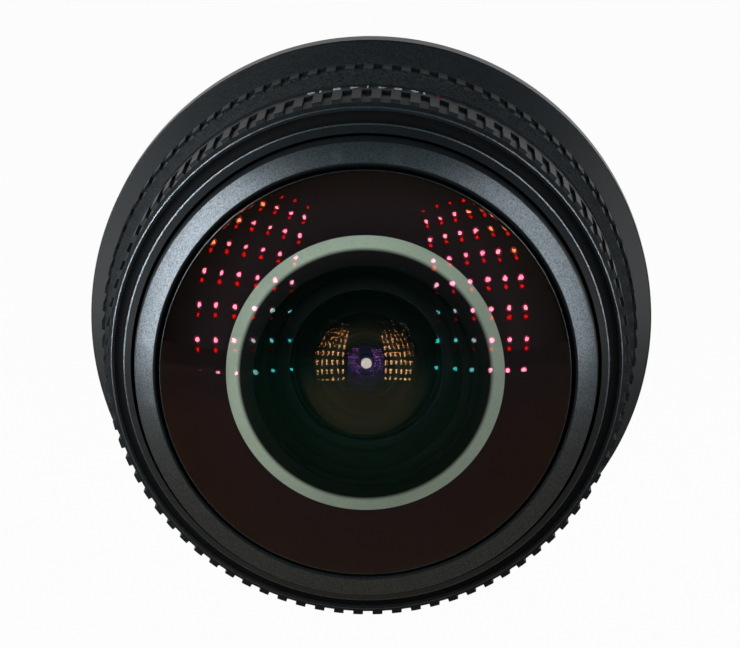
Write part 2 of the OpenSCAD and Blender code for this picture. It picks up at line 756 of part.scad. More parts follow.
module trim_ring() {
    cone_back = trim_front - trim_cone_len;
    wall_r = trim_edge_r - edge_chamfer;
    cove_z = focus_front + trim_cove;
    color("#2b2e31") on_axis() rotate_extrude() difference() {
        polygon([
            [trim_bore, web_front + fixed_gap], [carrier_r, web_front + fixed_gap], [carrier_r, focus_front],
            [wall_r + trim_cove, focus_front], [wall_r + trim_cove, cove_z], [wall_r, cove_z],
            [wall_r, cone_back - edge_chamfer], [trim_edge_r, cone_back],
            [trim_bore + trim_break, trim_front], [trim_bore, trim_front - trim_break]
        ]);
        translate([wall_r + trim_cove, cove_z]) circle(r = trim_cove);
    }
}

module aperture_ring() {
    bore = journal_r + run_gap;
    color("#3a3f43") on_axis() difference() {
        turned([
            [bore, aperture_back], [aperture_tip_r - edge_chamfer, aperture_back],
            [aperture_tip_r, aperture_back + edge_chamfer], [aperture_tip_r, aperture_teeth_front],
            [aperture_root_r, aperture_teeth_front], [band_r, aperture_front], [bore, aperture_front]
        ]);
        tooth_slots(aperture_teeth, aperture_root_r, aperture_teeth_back, aperture_teeth_front + eps);
        rotate([0, 0, pin_turn]) {
            intersection() {
                tube(foot_out + ring_gap, bore - eps, aperture_back - eps, fork_back + foot_t + fixed_gap);
                wedge(-foot_half - foot_slack, foot_half + foot_slack, foot_out, aperture_back - eps,
                    fork_back + foot_t + fixed_gap);
            }
            translate([bore - eps, -fork_w / 2 - fixed_gap, aperture_back - eps])
                cube([foot_out - bore + eps, fork_w + 2 * fixed_gap,
                    fork_front + fixed_gap - aperture_back + eps]);
            for (a = [-foot_screw_at, foot_screw_at]) rotate([0, 0, a])
                translate([foot_screw_r, 0, fork_back])
                    cylinder(r = body_shank_r + fixed_gap, h = foot_t + body_bite + fixed_gap);
        }
    }
}

module aperture_fork() {
    color("#b79b5a") on_axis() rotate([0, 0, pin_turn]) difference() {
        union() {
            intersection() {
                tube(foot_out, foot_in, fork_back, fork_back + foot_t);
                wedge(-foot_half, foot_half, foot_out, fork_back - eps, fork_back + foot_t + eps);
            }
            translate([fork_tip_r, -fork_w / 2, fork_back])
                cube([foot_out - ring_gap - fork_tip_r, fork_w, fork_front - fork_back]);
        }
        translate([fork_tip_r - eps, -drive_pin_r - run_gap, fork_back - eps])
            cube([pin_tip_r + free_gap - fork_tip_r + eps, 2 * drive_pin_r + 2 * run_gap,
                fork_front - fork_back + 2 * eps]);
        for (a = [-foot_screw_at, foot_screw_at])
            rotate([0, 0, a]) translate([foot_screw_r, 0, fork_back - eps]) {
                cylinder(r = body_shank_r + fixed_gap, h = foot_t + 2 * eps);
                cylinder(r = body_head_r + fixed_gap, h = eps + small_head_t + fixed_gap);
            }
    }
}

module fork_screws() {
    color("#8d9194") on_axis() rotate([0, 0, pin_turn])
        for (a = [-foot_screw_at, foot_screw_at]) rotate([0, 0, a]) translate([foot_screw_r, 0, fork_back])
            small_screw(foot_t - small_head_t + body_bite);
}

// The pin that drives the iris needs this slot in every wall that it passes
module drive_pin_slot(r_in, r_out) {
    half_w = drive_pin_r + free_gap / 2;
    side = asin(half_w / r_in);
    intersection() {
        tube(r_out + eps, r_in - eps, pin_z - half_w, pin_z + half_w);
        wedge(pin_turn - side, pin_turn + aperture_turn + side, r_out, pin_z - half_w, pin_z + half_w);
    }
}

module main_cell() {
    second_bore = second_r + fixed_gap;
    third_bore = third_r + fixed_gap;
    pair_bore = front_pair_r + fixed_gap;
    ring_bore = pair_bore + retainer_w;
    nose_r = ring_bore + barrel_wall;
    pocket_r = cell_in - iris_shoulder;
    thread_back = scale_front + 1.5 * free_gap;
    color("#1c1d1f") on_axis() difference() {
        turned([
            [cell_in, cell_back], [guide_r, cell_back], [guide_r, thread_back], [thread_r, thread_back],
            [thread_r, shoulder_z], [bezel_r - fixed_gap, shoulder_z], [bezel_r - fixed_gap, bezel_back],
            [cup_out, bezel_back], [cup_out, step_z], [cup_in, step_z], [cup_in, seat_z],
            [second_bore, seat_z], [second_bore, second_seat], [third_bore, second_seat],
            [third_bore, third_seat], [third_mouth, third_seat], [front_lip_r, front_lip_z],
            [pair_bore, front_lip_z], [pair_bore, front_pair_back], [ring_bore, front_pair_back],
            [ring_bore, nose_back], [nose_r, nose_back], [nose_r, thread_back], [pocket_r, thread_back],
            [pocket_r, plate_front + fixed_gap], [cell_in, plate_front + fixed_gap]
        ]);
        drive_pin_slot(cell_in, guide_r);
        around(2, 0) translate([guide_r - keyway_d, -key_w / 2 - run_gap, cell_back - eps])
            cube([keyway_d + eps, key_w + 2 * run_gap, key_z + key_len / 2 + free_gap - cell_back + eps]);
    }
}

module front_bezel() {
    color("#8b9297") on_axis() turned([
        [bezel_in, bezel_back + fixed_gap], [bezel_r, bezel_back + fixed_gap], [bezel_r, bezel_edge_z],
        [lip_r + bezel_chamfer, bezel_front], [lip_r, bezel_front - bezel_chamfer / 2], [lip_r, lip_z],
        [cup_in, lip_z], [cup_in, step_z + fixed_gap], [bezel_in, step_z + fixed_gap]
    ]);
}

module front_seal() {
    color("#0b0b0c") on_axis() tube(step_r, glass_r + fixed_gap, step_z, step_z + seal_t);
}

module front_element() {
    color("#20120f") on_axis() difference() {
        union() {
            intersection() {
                translate([0, 0, seat_z]) cylinder(r = glass_r, h = dome_apex - seat_z);
                ball(dome_radius, dome_centre);
            }
            translate([0, 0, seat_z]) cylinder(r = step_r, h = glass_edge);
        }
        ball(hollow_radius, hollow_centre);
        translate([0, 0, seat_z - eps]) cylinder(r = hollow_r + frosted_w, h = eps + frosted_d);
    }
}

module second_element() {
    color("#14221f") on_axis() difference() {
        intersection() {
            translate([0, 0, second_seat]) cylinder(r = second_r, h = second_front);
            ball(second_front, second_centre);
        }
        ball(second_hollow, second_hollow_centre);
    }
}

module second_retainer() {
    color("#17181a") on_axis() difference() {
        tube(second_r, second_r - second_retainer_w, second_seat + second_edge / 2, seat_z - fixed_gap);
        ball(second_front + fixed_gap, second_centre);
        translate([0, 0, second_seat - eps]) cylinder(r = second_r + fixed_gap / 2, h = second_edge + eps);
    }
}

module element_spacer() {
    color("#17181a") on_axis() difference() {
        tube(third_r, third_r - spacer_w, third_top, second_seat - fixed_gap);
        ball(third_front + fixed_gap, third_centre);
    }
}

module third_element() {
    color("#1d1a26") on_axis() difference() {
        intersection() {
            translate([0, 0, third_seat]) cylinder(r = third_r, h = third_front);
            ball(third_front, third_centre);
        }
        ball(third_hollow, third_hollow_centre);
    }
}

module front_crown() {
    color("#2a2030") on_axis() intersection() {
        translate([0, 0, front_pair_back]) cylinder(r = front_pair_r, h = front_flint_t + front_crown_t);
        ball(front_curve, front_curve_centre);
        ball(front_cement, front_cement_centre);
    }
}

module front_flint() {
    color("#2a2030") on_axis() difference() {
        translate([0, 0, front_pair_back])
            cylinder(r = front_pair_r, h = front_flint_t + front_crown_t);
        ball(front_cement, front_cement_centre);
    }
}

module doublet_retainer() {
    color("#17181a") on_axis()
        tube(front_pair_r + retainer_w, front_pair_r - retainer_w, nose_back, front_pair_back - fixed_gap);
}

// Places of the six blade pivots
module at_pivots() {
    around(blade_n, 0) translate([pivot_r, 0, 0]) children();
}

module iris_housing() {
    color("#26282a") on_axis() difference() {
        union() {
            tube(iris_out, iris_in, rear_seat_z + fixed_gap, plate_front);
            tube(iris_in + fixed_gap, blade_edge - stop_margin, plate_back, plate_front);
        }
        at_pivots() translate([0, 0, plate_back - eps])
            cylinder(r = blade_pin_r + run_gap, h = iris_plate_t + 2 * eps);
        drive_pin_slot(iris_in, iris_out);
    }
}

// Place of a blade's drive pin, seen from the iris ring after it has turned by q degrees
function drive_at(q) =
    let (b = blade_arm_angle + blade_ratio * q)
    let (x = pivot_r + blade_arm * cos(b), y = blade_arm * sin(b))
    [x * cos(q) + y * sin(q), y * cos(q) - x * sin(q)];

// Direction across the slot at the same place
function across(q) =
    let (d = drive_at(q + slot_probe) - drive_at(q - slot_probe))
    [-d[1], d[0]] / norm(d);

// Points round one end of the slot, from the side at that angle to the other
function slot_end(q, half_w, from) =
    let (n = across(q))
    [for (k = [1:end_steps - 1])
        let (a = from - 180 * k / end_steps)
        drive_at(q) + half_w * (cos(a) * [n[1], -n[0]] + sin(a) * n)];

module iris_slot() {
    half_w = blade_pin_r + 2 * run_gap;
    turns = [for (i = [0:slot_steps]) aperture_turn * i / slot_steps];
    left = [for (q = turns) drive_at(q) + half_w * across(q)];
    right = [for (i = [slot_steps:-1:0]) drive_at(turns[i]) - half_w * across(turns[i])];
    linear_extrude(height = iris_ring_t + 2 * eps)
        polygon(concat(left, slot_end(aperture_turn, half_w, 90), right, slot_end(0, half_w, -90)));
}

module iris_ring() {
    color("#55595c") on_axis() difference() {
        tube(iris_in - run_gap, blade_edge + iris_margin, iris_back, iris_ring_front);
        translate([0, 0, iris_back - eps]) around(blade_n, 0) iris_slot();
        rotate([0, 0, pin_turn])
            radial(drive_pin_r + fixed_gap / 2, iris_in - pin_root, iris_in + eps, pin_z);
    }
}

module iris_drive_pin() {
    color("#b79b5a") on_axis() rotate([0, 0, pin_turn])
        radial(drive_pin_r, iris_in - pin_root + fixed_gap, pin_tip_r, pin_z);
}

// One blade on its own level, with its pivot in the iris plate and its drive pin in the iris ring
module iris_blade(i) {
    back = blade_back + (blade_n - 1 - i) * blade_pitch;
    ear_r = blade_pin_r + ear_w;
    color("#3c3f41") on_axis() rotate([0, 0, i * 360 / blade_n]) {
        intersection() {
            tube(blade_out, blade_edge, back, back + blade_t);
            wedge(-blade_lead, blade_arc, blade_out, back - eps, back + eps);
        }
        for (a = [0, drive_angle]) rotate([0, 0, a]) {
            translate([pivot_r, 0, back]) cylinder(r = ear_r, h = blade_t);
            translate([blade_out - ear_w, -ear_r, back])
                cube([pivot_r - blade_out + ear_w, 2 * ear_r, blade_t]);
        }
        translate([pivot_r, 0, back]) cylinder(r = blade_pin_r, h = plate_front - ring_gap - back);
        rotate([0, 0, drive_angle]) translate([pivot_r, 0, iris_back + ring_gap])
            cylinder(r = blade_pin_r, h = back - iris_back - ring_gap + blade_t / 2);
    }
}

module rear_cell() {
    pair_bore = rear_pair_r + fixed_gap;
    ring_bore = rear_pair_r + retainer_w + fixed_gap;
    last_bore = rear_r + fixed_gap;
    tube_r = last_bore + barrel_wall;
    color("#1c1d1f") on_axis() turned([
        [iris_out, rear_seat_z - rear_flange_t], [iris_out, rear_seat_z], [ring_bore, rear_seat_z],
        [ring_bore, rear_pair_front], [pair_bore, rear_pair_front], [pair_bore, rear_lip_front],
        [rear_lip_r, rear_lip_front], [rear_lip_r, rear_lip_back], [last_bore, rear_lip_back],
        [last_bore, rear_tube_back], [tube_r, rear_tube_back], [tube_r, rear_seat_z - rear_flange_t]
    ]);
}

module rear_flint() {
    color("#2a2030") on_axis() difference() {
        translate([0, 0, rear_pair_front - rear_flint_t - rear_crown_t])
            cylinder(r = rear_pair_r, h = rear_flint_t + rear_crown_t);
        ball(rear_cement, rear_cement_centre);
    }
}

module rear_crown() {
    color("#2a2030") on_axis() intersection() {
        translate([0, 0, rear_pair_front - rear_flint_t - rear_crown_t])
            cylinder(r = rear_pair_r, h = rear_flint_t + rear_crown_t);
        ball(rear_cement, rear_cement_centre);
        ball(rear_curve, rear_curve_centre);
    }
}

module rear_doublet_retainer() {
    color("#17181a") on_axis()
        tube(rear_pair_r + retainer_w, rear_pair_r - retainer_w, rear_pair_front + fixed_gap,
            rear_ring_front);
}

module rear_element() {
    color("#2a2030") on_axis() intersection() {
        translate([0, 0, last_back]) cylinder(r = rear_r, h = last_t);
        ball(last_curve, last_front - last_curve);
        ball(last_curve, last_back + last_curve);
    }
}

module rear_retainer() {
    color("#17181a") on_axis() difference() {
        tube(rear_r, rear_r - retainer_w, last_edge_back - retainer_len, last_edge_back + last_sag / 2);
        ball(last_curve + fixed_gap, last_back + last_curve);
    }
}

mount_base();
mount_ring();
mount_screws();
rear_baffle();
alignment_dot();
skirt();
scale_barrel();
body_screws();
guide_keys();
key_screws();
focus_stop_pin();
focus_carrier();
focus_ring();
focus_guide_screws();
focus_set_screws();
trim_ring();
aperture_ring();
aperture_fork();
fork_screws();
main_cell();
front_bezel();
front_seal();
front_element();
second_element();
second_retainer();
element_spacer();
third_element();
front_crown();
front_flint();
doublet_retainer();
iris_housing();
iris_ring();
iris_drive_pin();
iris_blade(0);  // iris_blade_1
iris_blade(1);  // iris_blade_2
iris_blade(2);  // iris_blade_3
iris_blade(3);  // iris_blade_4
iris_blade(4);  // iris_blade_5
iris_blade(5);  // iris_blade_6
rear_cell();
rear_flint();
rear_crown();
rear_doublet_retainer();
rear_element();
rear_retainer();
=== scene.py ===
import math

import bpy
from mathutils import Matrix, Vector


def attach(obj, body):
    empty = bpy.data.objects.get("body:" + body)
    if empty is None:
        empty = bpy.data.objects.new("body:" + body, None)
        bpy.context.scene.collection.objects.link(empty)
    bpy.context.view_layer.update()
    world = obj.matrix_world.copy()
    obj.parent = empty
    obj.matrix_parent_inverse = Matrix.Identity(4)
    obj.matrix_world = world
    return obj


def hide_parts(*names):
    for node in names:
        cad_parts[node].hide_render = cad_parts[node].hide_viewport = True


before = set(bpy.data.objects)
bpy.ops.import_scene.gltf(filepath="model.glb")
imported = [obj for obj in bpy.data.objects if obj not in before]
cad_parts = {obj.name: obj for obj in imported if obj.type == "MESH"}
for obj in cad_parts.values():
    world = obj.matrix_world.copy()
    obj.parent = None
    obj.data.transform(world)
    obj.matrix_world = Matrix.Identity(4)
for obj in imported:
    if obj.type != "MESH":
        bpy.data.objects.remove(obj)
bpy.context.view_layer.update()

# Camera: it stands half a metre in front of the lens and a little above its axis, as in the photograph.
# The view is long, so the rings narrow only slightly towards the back.
MM = 0.001
camera_place = Vector((8.837, -455.875, 84.887)) * MM
camera_right = Vector((0.99981, 0.01911, -0.00362))
camera_up = Vector((0.0, 0.18610, 0.98253))
camera_ahead = Vector((-0.01945, 0.98235, -0.18606))
camera_data = bpy.data.cameras.new("camera")
camera_data.sensor_width = 36
camera_data.lens = 208.88
camera_data.clip_start = 0.01
camera = bpy.data.objects.new("camera", camera_data)
camera.matrix_world = Matrix((
    (camera_right.x, camera_up.x, -camera_ahead.x, camera_place.x),
    (camera_right.y, camera_up.y, -camera_ahead.y, camera_place.y),
    (camera_right.z, camera_up.z, -camera_ahead.z, camera_place.z),
    (0, 0, 0, 1),
))
bpy.context.scene.collection.objects.link(camera)
bpy.context.scene.camera = camera
bpy.context.scene.view_settings.view_transform = "Standard"


# Flange: the fixed ring at the back that carries the bayonet and the skirt.
# Turned from aluminium and anodised black, with broken edges; a small bore takes the mounting dot.
def linear(hex_code):
    parts = [int(hex_code[i:i + 2], 16) / 255 for i in (1, 3, 5)]
    return (*(c / 12.92 if c <= 0.04045 else ((c + 0.055) / 1.055) ** 2.4 for c in parts), 1)


def add(tree, kind, inputs, stops=None, **settings):
    """Adds a node with its settings, its values and links, and the stops of a colour ramp."""
    made = tree.nodes.new("ShaderNode" + kind)
    for name, value in settings.items():
        setattr(made, name, value)
    for socket, value in inputs.items():
        if isinstance(value, bpy.types.NodeSocket):
            tree.links.new(value, made.inputs[socket])
        else:
            made.inputs[socket].default_value = value
    for at, colour in stops or []:
        if at == stops[0][0]:
            stop = made.color_ramp.elements[0]
        elif at == stops[-1][0]:
            stop = made.color_ramp.elements[-1]
        else:
            stop = made.color_ramp.elements.new(at)
        stop.position, stop.color = at, colour
    return made


def new_material(name):
    material = bpy.data.materials.new(name)
    material.use_nodes = True
    material.node_tree.nodes.clear()
    return material, material.node_tree


def wear(piece, *materials):
    piece.data.materials.clear()
    for material in materials:
        piece.data.materials.append(material)


MERGE = 0.001


def turned(name, profile, steps=256, edge=0.06, closed=True):
    """A lathe piece: profile is (radius, distance ahead of the mount seat) in mm, spun about the lens axis."""
    bpy.ops.object.select_all(action="DESELECT")
    bpy.ops.mesh.primitive_plane_add(size=1)
    piece = bpy.context.object
    piece.name = piece.data.name = name
    points = profile + profile[:1] if closed else profile
    bpy.ops.object.mode_set(mode="EDIT")
    bpy.ops.mesh.merge(type="CENTER")
    bpy.ops.transform.translate(value=(points[0][0], -points[0][1], 0))
    for (r0, z0), (r1, z1) in zip(points, points[1:]):
        bpy.ops.mesh.extrude_region_move(TRANSFORM_OT_translate={"value": (r1 - r0, z0 - z1, 0)})
    bpy.ops.mesh.select_all(action="SELECT")
    bpy.ops.mesh.remove_doubles(threshold=MERGE)
    bpy.ops.mesh.spin(steps=steps, angle=math.tau, center=(0, 0, 0), axis=(0, 1, 0))
    bpy.ops.mesh.select_all(action="SELECT")
    bpy.ops.mesh.remove_doubles(threshold=MERGE)
    bpy.ops.mesh.normals_make_consistent(inside=False)
    bpy.ops.object.mode_set(mode="OBJECT")
    if edge:
        break_edges(piece, edge)
    return piece


def break_edges(piece, width, segments=2, sharp_from=20):
    bevel = piece.modifiers.new("broken_edges", "BEVEL")
    bevel.width, bevel.segments = width, segments
    bevel.limit_method, bevel.angle_limit = "ANGLE", math.radians(sharp_from)
    bpy.ops.object.modifier_apply(modifier=bevel.name)


def to_metres(piece, smooth_below=15):
    bpy.ops.object.mode_set(mode="EDIT")
    bpy.ops.mesh.select_all(action="SELECT")
    bpy.ops.transform.resize(value=(MM, MM, MM), center_override=(0, 0, 0))
    bpy.ops.object.mode_set(mode="OBJECT")
    bpy.ops.object.shade_smooth_by_angle(angle=math.radians(smooth_below))


def bore(piece, radius, start, end, sides=48):
    """A round hole in mm, drilled from start to end by a Boolean with a thin drill."""
    start, end = Vector(start), Vector(end)
    bpy.ops.object.select_all(action="DESELECT")
    bpy.ops.mesh.primitive_cylinder_add(
        vertices=sides, radius=radius, depth=(end - start).length, location=(start + end) / 2,
        rotation=(end - start).to_track_quat("Z", "Y").to_euler())
    drill = bpy.context.object
    bpy.ops.object.transform_apply(location=True, rotation=True, scale=True)
    bpy.ops.object.select_all(action="DESELECT")
    piece.select_set(True)
    bpy.context.view_layer.objects.active = piece
    cut = piece.modifiers.new("bore", "BOOLEAN")
    cut.operation, cut.solver, cut.object = "DIFFERENCE", "MANIFOLD", drill
    bpy.ops.object.modifier_apply(modifier=cut.name)
    bpy.data.objects.remove(drill)


# Black anodise: a dyed oxide skin over the metal, charcoal and satin, with a fine grain and faint broad clouds.
# The grain is drawn at 0.12 to 0.22 mm, coarser than real blasting, so that it shows at this size.
# A noise seldom leaves the span of 0.3 to 0.7, which is stretched so that both tones are reached.
NOISE_SPAN = {"From Min": 0.3, "From Max": 0.7}


def anodise(name, dark, light, grain_size, gloss, level, depth, cloud_size=7, pit_depth=0.02):
    material, tree = new_material(name)
    where = add(tree, "TexCoord", {}).outputs["Object"]
    grain = add(tree, "TexNoise", {"Vector": where, "Scale": 1 / (grain_size * MM), "Detail": 3, "Roughness": 0.6})
    cloud = add(tree, "TexNoise", {"Vector": where, "Scale": 1 / (cloud_size * MM), "Detail": 4})
    blend = add(tree, "MapRange", {"Value": grain.outputs[0], **NOISE_SPAN})
    tone = add(tree, "Mix", {0: blend.outputs[0], 6: linear(dark), 7: linear(light)}, data_type="RGBA")
    patch = add(tree, "MapRange", {"Value": cloud.outputs[0], "To Min": 0.85, "To Max": 1.15})
    skin = add(tree, "VectorMath", {0: tone.outputs[2], "Scale": patch.outputs[0]}, operation="SCALE")
    satin = add(tree, "MapRange", {
        "Value": grain.outputs[0], **NOISE_SPAN, "To Min": gloss, "To Max": gloss + 0.14})
    pits = add(tree, "Bump", {"Height": grain.outputs[0], "Strength": depth, "Distance": pit_depth * MM})
    shader = add(tree, "BsdfPrincipled", {
        "Base Color": skin.outputs[0], "Roughness": satin.outputs[0], "IOR": 1.6, "Specular IOR Level": level,
        "Normal": pits.outputs[0]})
    add(tree, "OutputMaterial", {"Surface": shader.outputs[0]})
    return material


# Satin anodise on a turned edge: finer and smoother, so that the flange's rim shows as a thin grey line.
polished = anodise(
    "anodised_aluminium_satin", "#101214", "#1a1d1f", grain_size=0.12, gloss=0.34, level=0.3, depth=0.1)

flange_r, seat_r, flange_bore = 29.97, 28.18, 17.7
flange_back, seat_depth, flange_front = 1.0, 2.2, 4.57
dot_circle, dot_r = 29.06, 0.63
flange = turned("flange", [
    (flange_bore, seat_depth), (seat_r, seat_depth), (seat_r, flange_back), (flange_r, flange_back),
    (flange_r, flange_front), (flange_bore, flange_front)], edge=0.15)
bore(flange, dot_r, (0, 0.2, dot_circle), (0, -1.8, dot_circle))
to_metres(flange)
wear(flange, polished)
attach(flange, "barrel")
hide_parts("mount_base")

# Skirt: the cone that spreads from the aperture ring out to the flange.
# Turned aluminium, anodised black over a coarse blast, screwed to the flange from behind.
skirt_bore, skirt_recess, skirt_step, skirt_front = 24.43, 26.22, 7.9, 9.35
skirt = turned("skirt_cone", [
    (skirt_bore, skirt_step), (skirt_bore, skirt_front), (28.12, skirt_front), (29.86, 4.77), (29.67, flange_front),
    (skirt_recess, flange_front), (skirt_recess, skirt_step)], edge=0.12)
to_metres(skirt)
# Coarse-blasted anodise: dull, with a grain that shows as a light speckle.
sanded = anodise(
    "anodised_aluminium_coarse", "#0e1011", "#383d40", grain_size=0.22, gloss=0.44, level=0.16, depth=0.4)
wear(skirt, sanded)
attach(skirt, "barrel")
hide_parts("skirt")


# Aperture ring: turns on the barrel behind the scale, with ninety cut teeth behind a sloping band.
# Milled and blasted aluminium; the slots are closed by a narrow land at the back.
def raise_faces(piece, wanted, root, tip):
    """Extrudes the wanted faces straight out from the lens axis, from one radius to another."""
    bpy.ops.object.mode_set(mode="EDIT")
    bpy.ops.mesh.select_mode(type="FACE")
    bpy.ops.mesh.select_all(action="DESELECT")
    bpy.ops.object.mode_set(mode="OBJECT")
    for face in piece.data.polygons:
        reach = math.hypot(face.center.x, face.center.z)
        outside = math.hypot(face.normal.x, face.normal.z) > 0.9 and abs(reach - root) < 0.05
        face.select = outside and wanted(math.degrees(math.atan2(face.center.z, face.center.x)), -face.center.y)
    bpy.ops.object.mode_set(mode="EDIT")
    bpy.ops.mesh.extrude_region_move()
    bpy.ops.transform.resize(value=(tip / root, 1, tip / root), center_override=(0, 0, 0))
    bpy.ops.mesh.select_all(action="SELECT")
    bpy.ops.mesh.normals_make_consistent(inside=False)
    bpy.ops.mesh.select_mode(type="VERT")
    bpy.ops.object.mode_set(mode="OBJECT")


FACES_PER_TOOTH = 4


def cut_teeth(ring, teeth, root, tip, back, front):
    """Raises the teeth, and the land behind them, out of a ring that was turned at the root of the teeth."""
    pitch = 360 / teeth
    raise_faces(ring, lambda turn, ahead: ahead < back or ahead < front and 0.25 < turn / pitch % 1 < 0.75, root, tip)


aperture_teeth, aperture_root, aperture_tip, aperture_bore = 90, 27.73, 28.12, 24.45
aperture_back, aperture_land, aperture_slope, aperture_front = 9.48, 9.89, 13.49, 14.81
TOOTH_EDGE = 0.035
aperture_ring = turned("aperture_grip", [
    (aperture_bore, aperture_back), (aperture_root, aperture_back), (aperture_root, aperture_land),
    (aperture_root, aperture_slope), (26.73, aperture_front), (aperture_bore, aperture_front)],
    steps=FACES_PER_TOOTH * aperture_teeth, edge=0)
cut_teeth(aperture_ring, aperture_teeth, aperture_root, aperture_tip, aperture_land, aperture_slope)
break_edges(aperture_ring, TOOTH_EDGE)
to_metres(aperture_ring)
wear(aperture_ring, sanded)
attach(aperture_ring, "aperture")
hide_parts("aperture_ring")

# Focus ring: the front toothed ring, with eighty-four teeth whose slots run out at the front, and a nose before them.
# Milled and blasted aluminium, held on the brass carrier by three set screws; the nose's front edge is cut bright.

# Blasted aluminium: bare grey metal with a fine sparkle, drawn at 0.17 mm so that it shows.
blasted, tree = new_material("blasted_aluminium_grey")
where = add(tree, "TexCoord", {}).outputs["Object"]
grain = add(tree, "TexNoise", {"Vector": where, "Scale": 1 / (0.17 * MM), "Detail": 2, "Roughness": 0.7})
blend = add(tree, "MapRange", {"Value": grain.outputs[0], **NOISE_SPAN})
tone = add(tree, "Mix", {0: blend.outputs[0], 6: linear("#54595c"), 7: linear("#858b8f")}, data_type="RGBA")
satin = add(tree, "MapRange", {"Value": grain.outputs[0], **NOISE_SPAN, "To Min": 0.4, "To Max": 0.32})
pits = add(tree, "Bump", {"Height": grain.outputs[0], "Strength": 0.25, "Distance": 0.02 * MM})
shader = add(tree, "BsdfPrincipled", {
    "Base Color": tone.outputs[2], "Metallic": 1.0, "Roughness": satin.outputs[0], "Normal": pits.outputs[0]})
add(tree, "OutputMaterial", {"Surface": shader.outputs[0]})


def placed(face):
    """The radius of a face's centre and its distance ahead of the mount seat, in mm."""
    centre = face.center / MM
    return math.hypot(centre.x, centre.z), -centre.y


def paint_band(piece, index, inner, outer, back, front):
    """Gives the front faces in a band, set by radius and distance ahead in mm, another of the piece's materials."""
    for face in piece.data.polygons:
        r, ahead = placed(face)
        if inner < r < outer and back < ahead < front and -face.normal.y > 0.2:
            face.material_index = index


def on_circle(radius, turn, ahead):
    """A point in mm at a radius and an angle about the lens axis, ahead of the mount seat."""
    return radius * math.cos(math.radians(turn)), -ahead, radius * math.sin(math.radians(turn))


focus_teeth, focus_root, focus_tip, focus_bore = 84, 26.43, 26.82, 25.63
focus_back, focus_land, focus_teeth_end, focus_front = 19.98, 20.58, 27.08, 27.75
focus_lean = 0.15
set_screw_r, set_screw_ahead = 0.43, 22.555
focus_ring = turned("focus_grip", [
    (focus_bore, focus_back), (focus_root, focus_back), (focus_root, focus_land), (focus_root, focus_teeth_end),
    (26.07, 27.647), (25.92, focus_front), (focus_bore, focus_front)],
    steps=FACES_PER_TOOTH * focus_teeth, edge=0)
cut_teeth(focus_ring, focus_teeth, focus_root, focus_tip, focus_land, focus_teeth_end)
bpy.ops.object.mode_set(mode="EDIT")
bpy.ops.mesh.select_all(action="DESELECT")
bpy.ops.object.mode_set(mode="OBJECT")
for point in focus_ring.data.vertices:
    point.select = math.hypot(point.co.x, point.co.z) > focus_tip - 0.02 and -point.co.y > focus_teeth_end - 0.08
bpy.ops.object.mode_set(mode="EDIT")
bpy.ops.transform.translate(value=(0, focus_lean, 0))
bpy.ops.object.mode_set(mode="OBJECT")
break_edges(focus_ring, TOOTH_EDGE)
for turn in (90, 210, 330):
    bore(focus_ring, set_screw_r, on_circle(25.0, turn, set_screw_ahead), on_circle(27.5, turn, set_screw_ahead))
to_metres(focus_ring)
# Milled anodise: a slightly smoother black, so that the faces of the teeth differ as the light falls on them.
milled = anodise(
    "anodised_aluminium_milled", "#0d0f11", "#272c2f", grain_size=0.16, gloss=0.42, level=0.2, depth=0.35)
wear(focus_ring, milled, blasted)
paint_band(focus_ring, index=1, inner=25.94, outer=26.06, back=27.65, front=27.745)
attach(focus_ring, "focus")
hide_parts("focus_ring")


# Trim ring: the stepped ring in front of the focus ring, with a deep cove, a thin lip and a sloping front.
# Turned aluminium, anodised, pressed on the carrier; the chamfer on its lip is cut bright, and shows as a fine line.
def arc(radius, r_centre, z_centre, start, end, count):
    turns = [math.radians(start + (end - start) * i / count) for i in range(count + 1)]
    return [(r_centre + radius * math.cos(a), z_centre + radius * math.sin(a)) for a in turns]


trim_bore, trim_r, trim_back = 23.75, 25.6, 27.04
trim_ring = turned("trim_collar", [(trim_bore, trim_back), (trim_r, trim_back), (trim_r, focus_front)]
                   + arc(radius=1.1, r_centre=25.47, z_centre=28.85, start=270, end=180, count=14)
                   + [(24.37, 29.4), (24.63, 29.60), (24.49, 29.697), (23.81, 30.7), (trim_bore, 30.64)], edge=0)
to_metres(trim_ring)
# Bead-blasted anodise, charcoal and satin; in the cove a duller one, whose darker colour is painted shade, so that the
# cove stays almost black.
anodised = anodise(
    "anodised_aluminium_black", "#0d0f11", "#24292c", grain_size=0.16, gloss=0.36, level=0.32, depth=0.35)
cove_painted_shade = anodise(
    "anodised_aluminium_dull_painted_shade", "#0a0b0c", "#151618", grain_size=0.16, gloss=0.5, level=0.07, depth=0.2)
wear(trim_ring, anodised, blasted, cove_painted_shade)
paint_band(trim_ring, index=1, inner=24.5, outer=24.62, back=29.61, front=29.69)
# Painted shade: the faces of the cove get the darker anodise.
paint_band(trim_ring, index=2, inner=24.3, outer=25.7, back=27.7, front=28.9)
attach(trim_ring, "focus")
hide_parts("trim_ring")

# Bezel: the light cone round the glass, screwed over the cell to clamp the front element.
# The blasted grey cone is cut after the black finish; the inner lip and the side keep the black.
bezel_bore, bezel_back = 22.58, 30.20
lip_r, lip_recess, lip_under, recess_under = 21.0, 21.83, 33.33, 32.63
bezel = turned("bezel_cone", [
    (bezel_bore, bezel_back), (23.5, bezel_back), (23.25, 32.81), (21.33, 34.13), (21.16, 34.11), (lip_r, 33.98),
    (lip_r, lip_under), (lip_recess, lip_under), (lip_recess, recess_under), (bezel_bore, recess_under)], edge=0.05)
to_metres(bezel)
wear(bezel, anodised, blasted)
paint_band(bezel, index=1, inner=21.34, outer=23.24, back=32.7, front=34.2)
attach(bezel, "cell")
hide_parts("front_bezel")


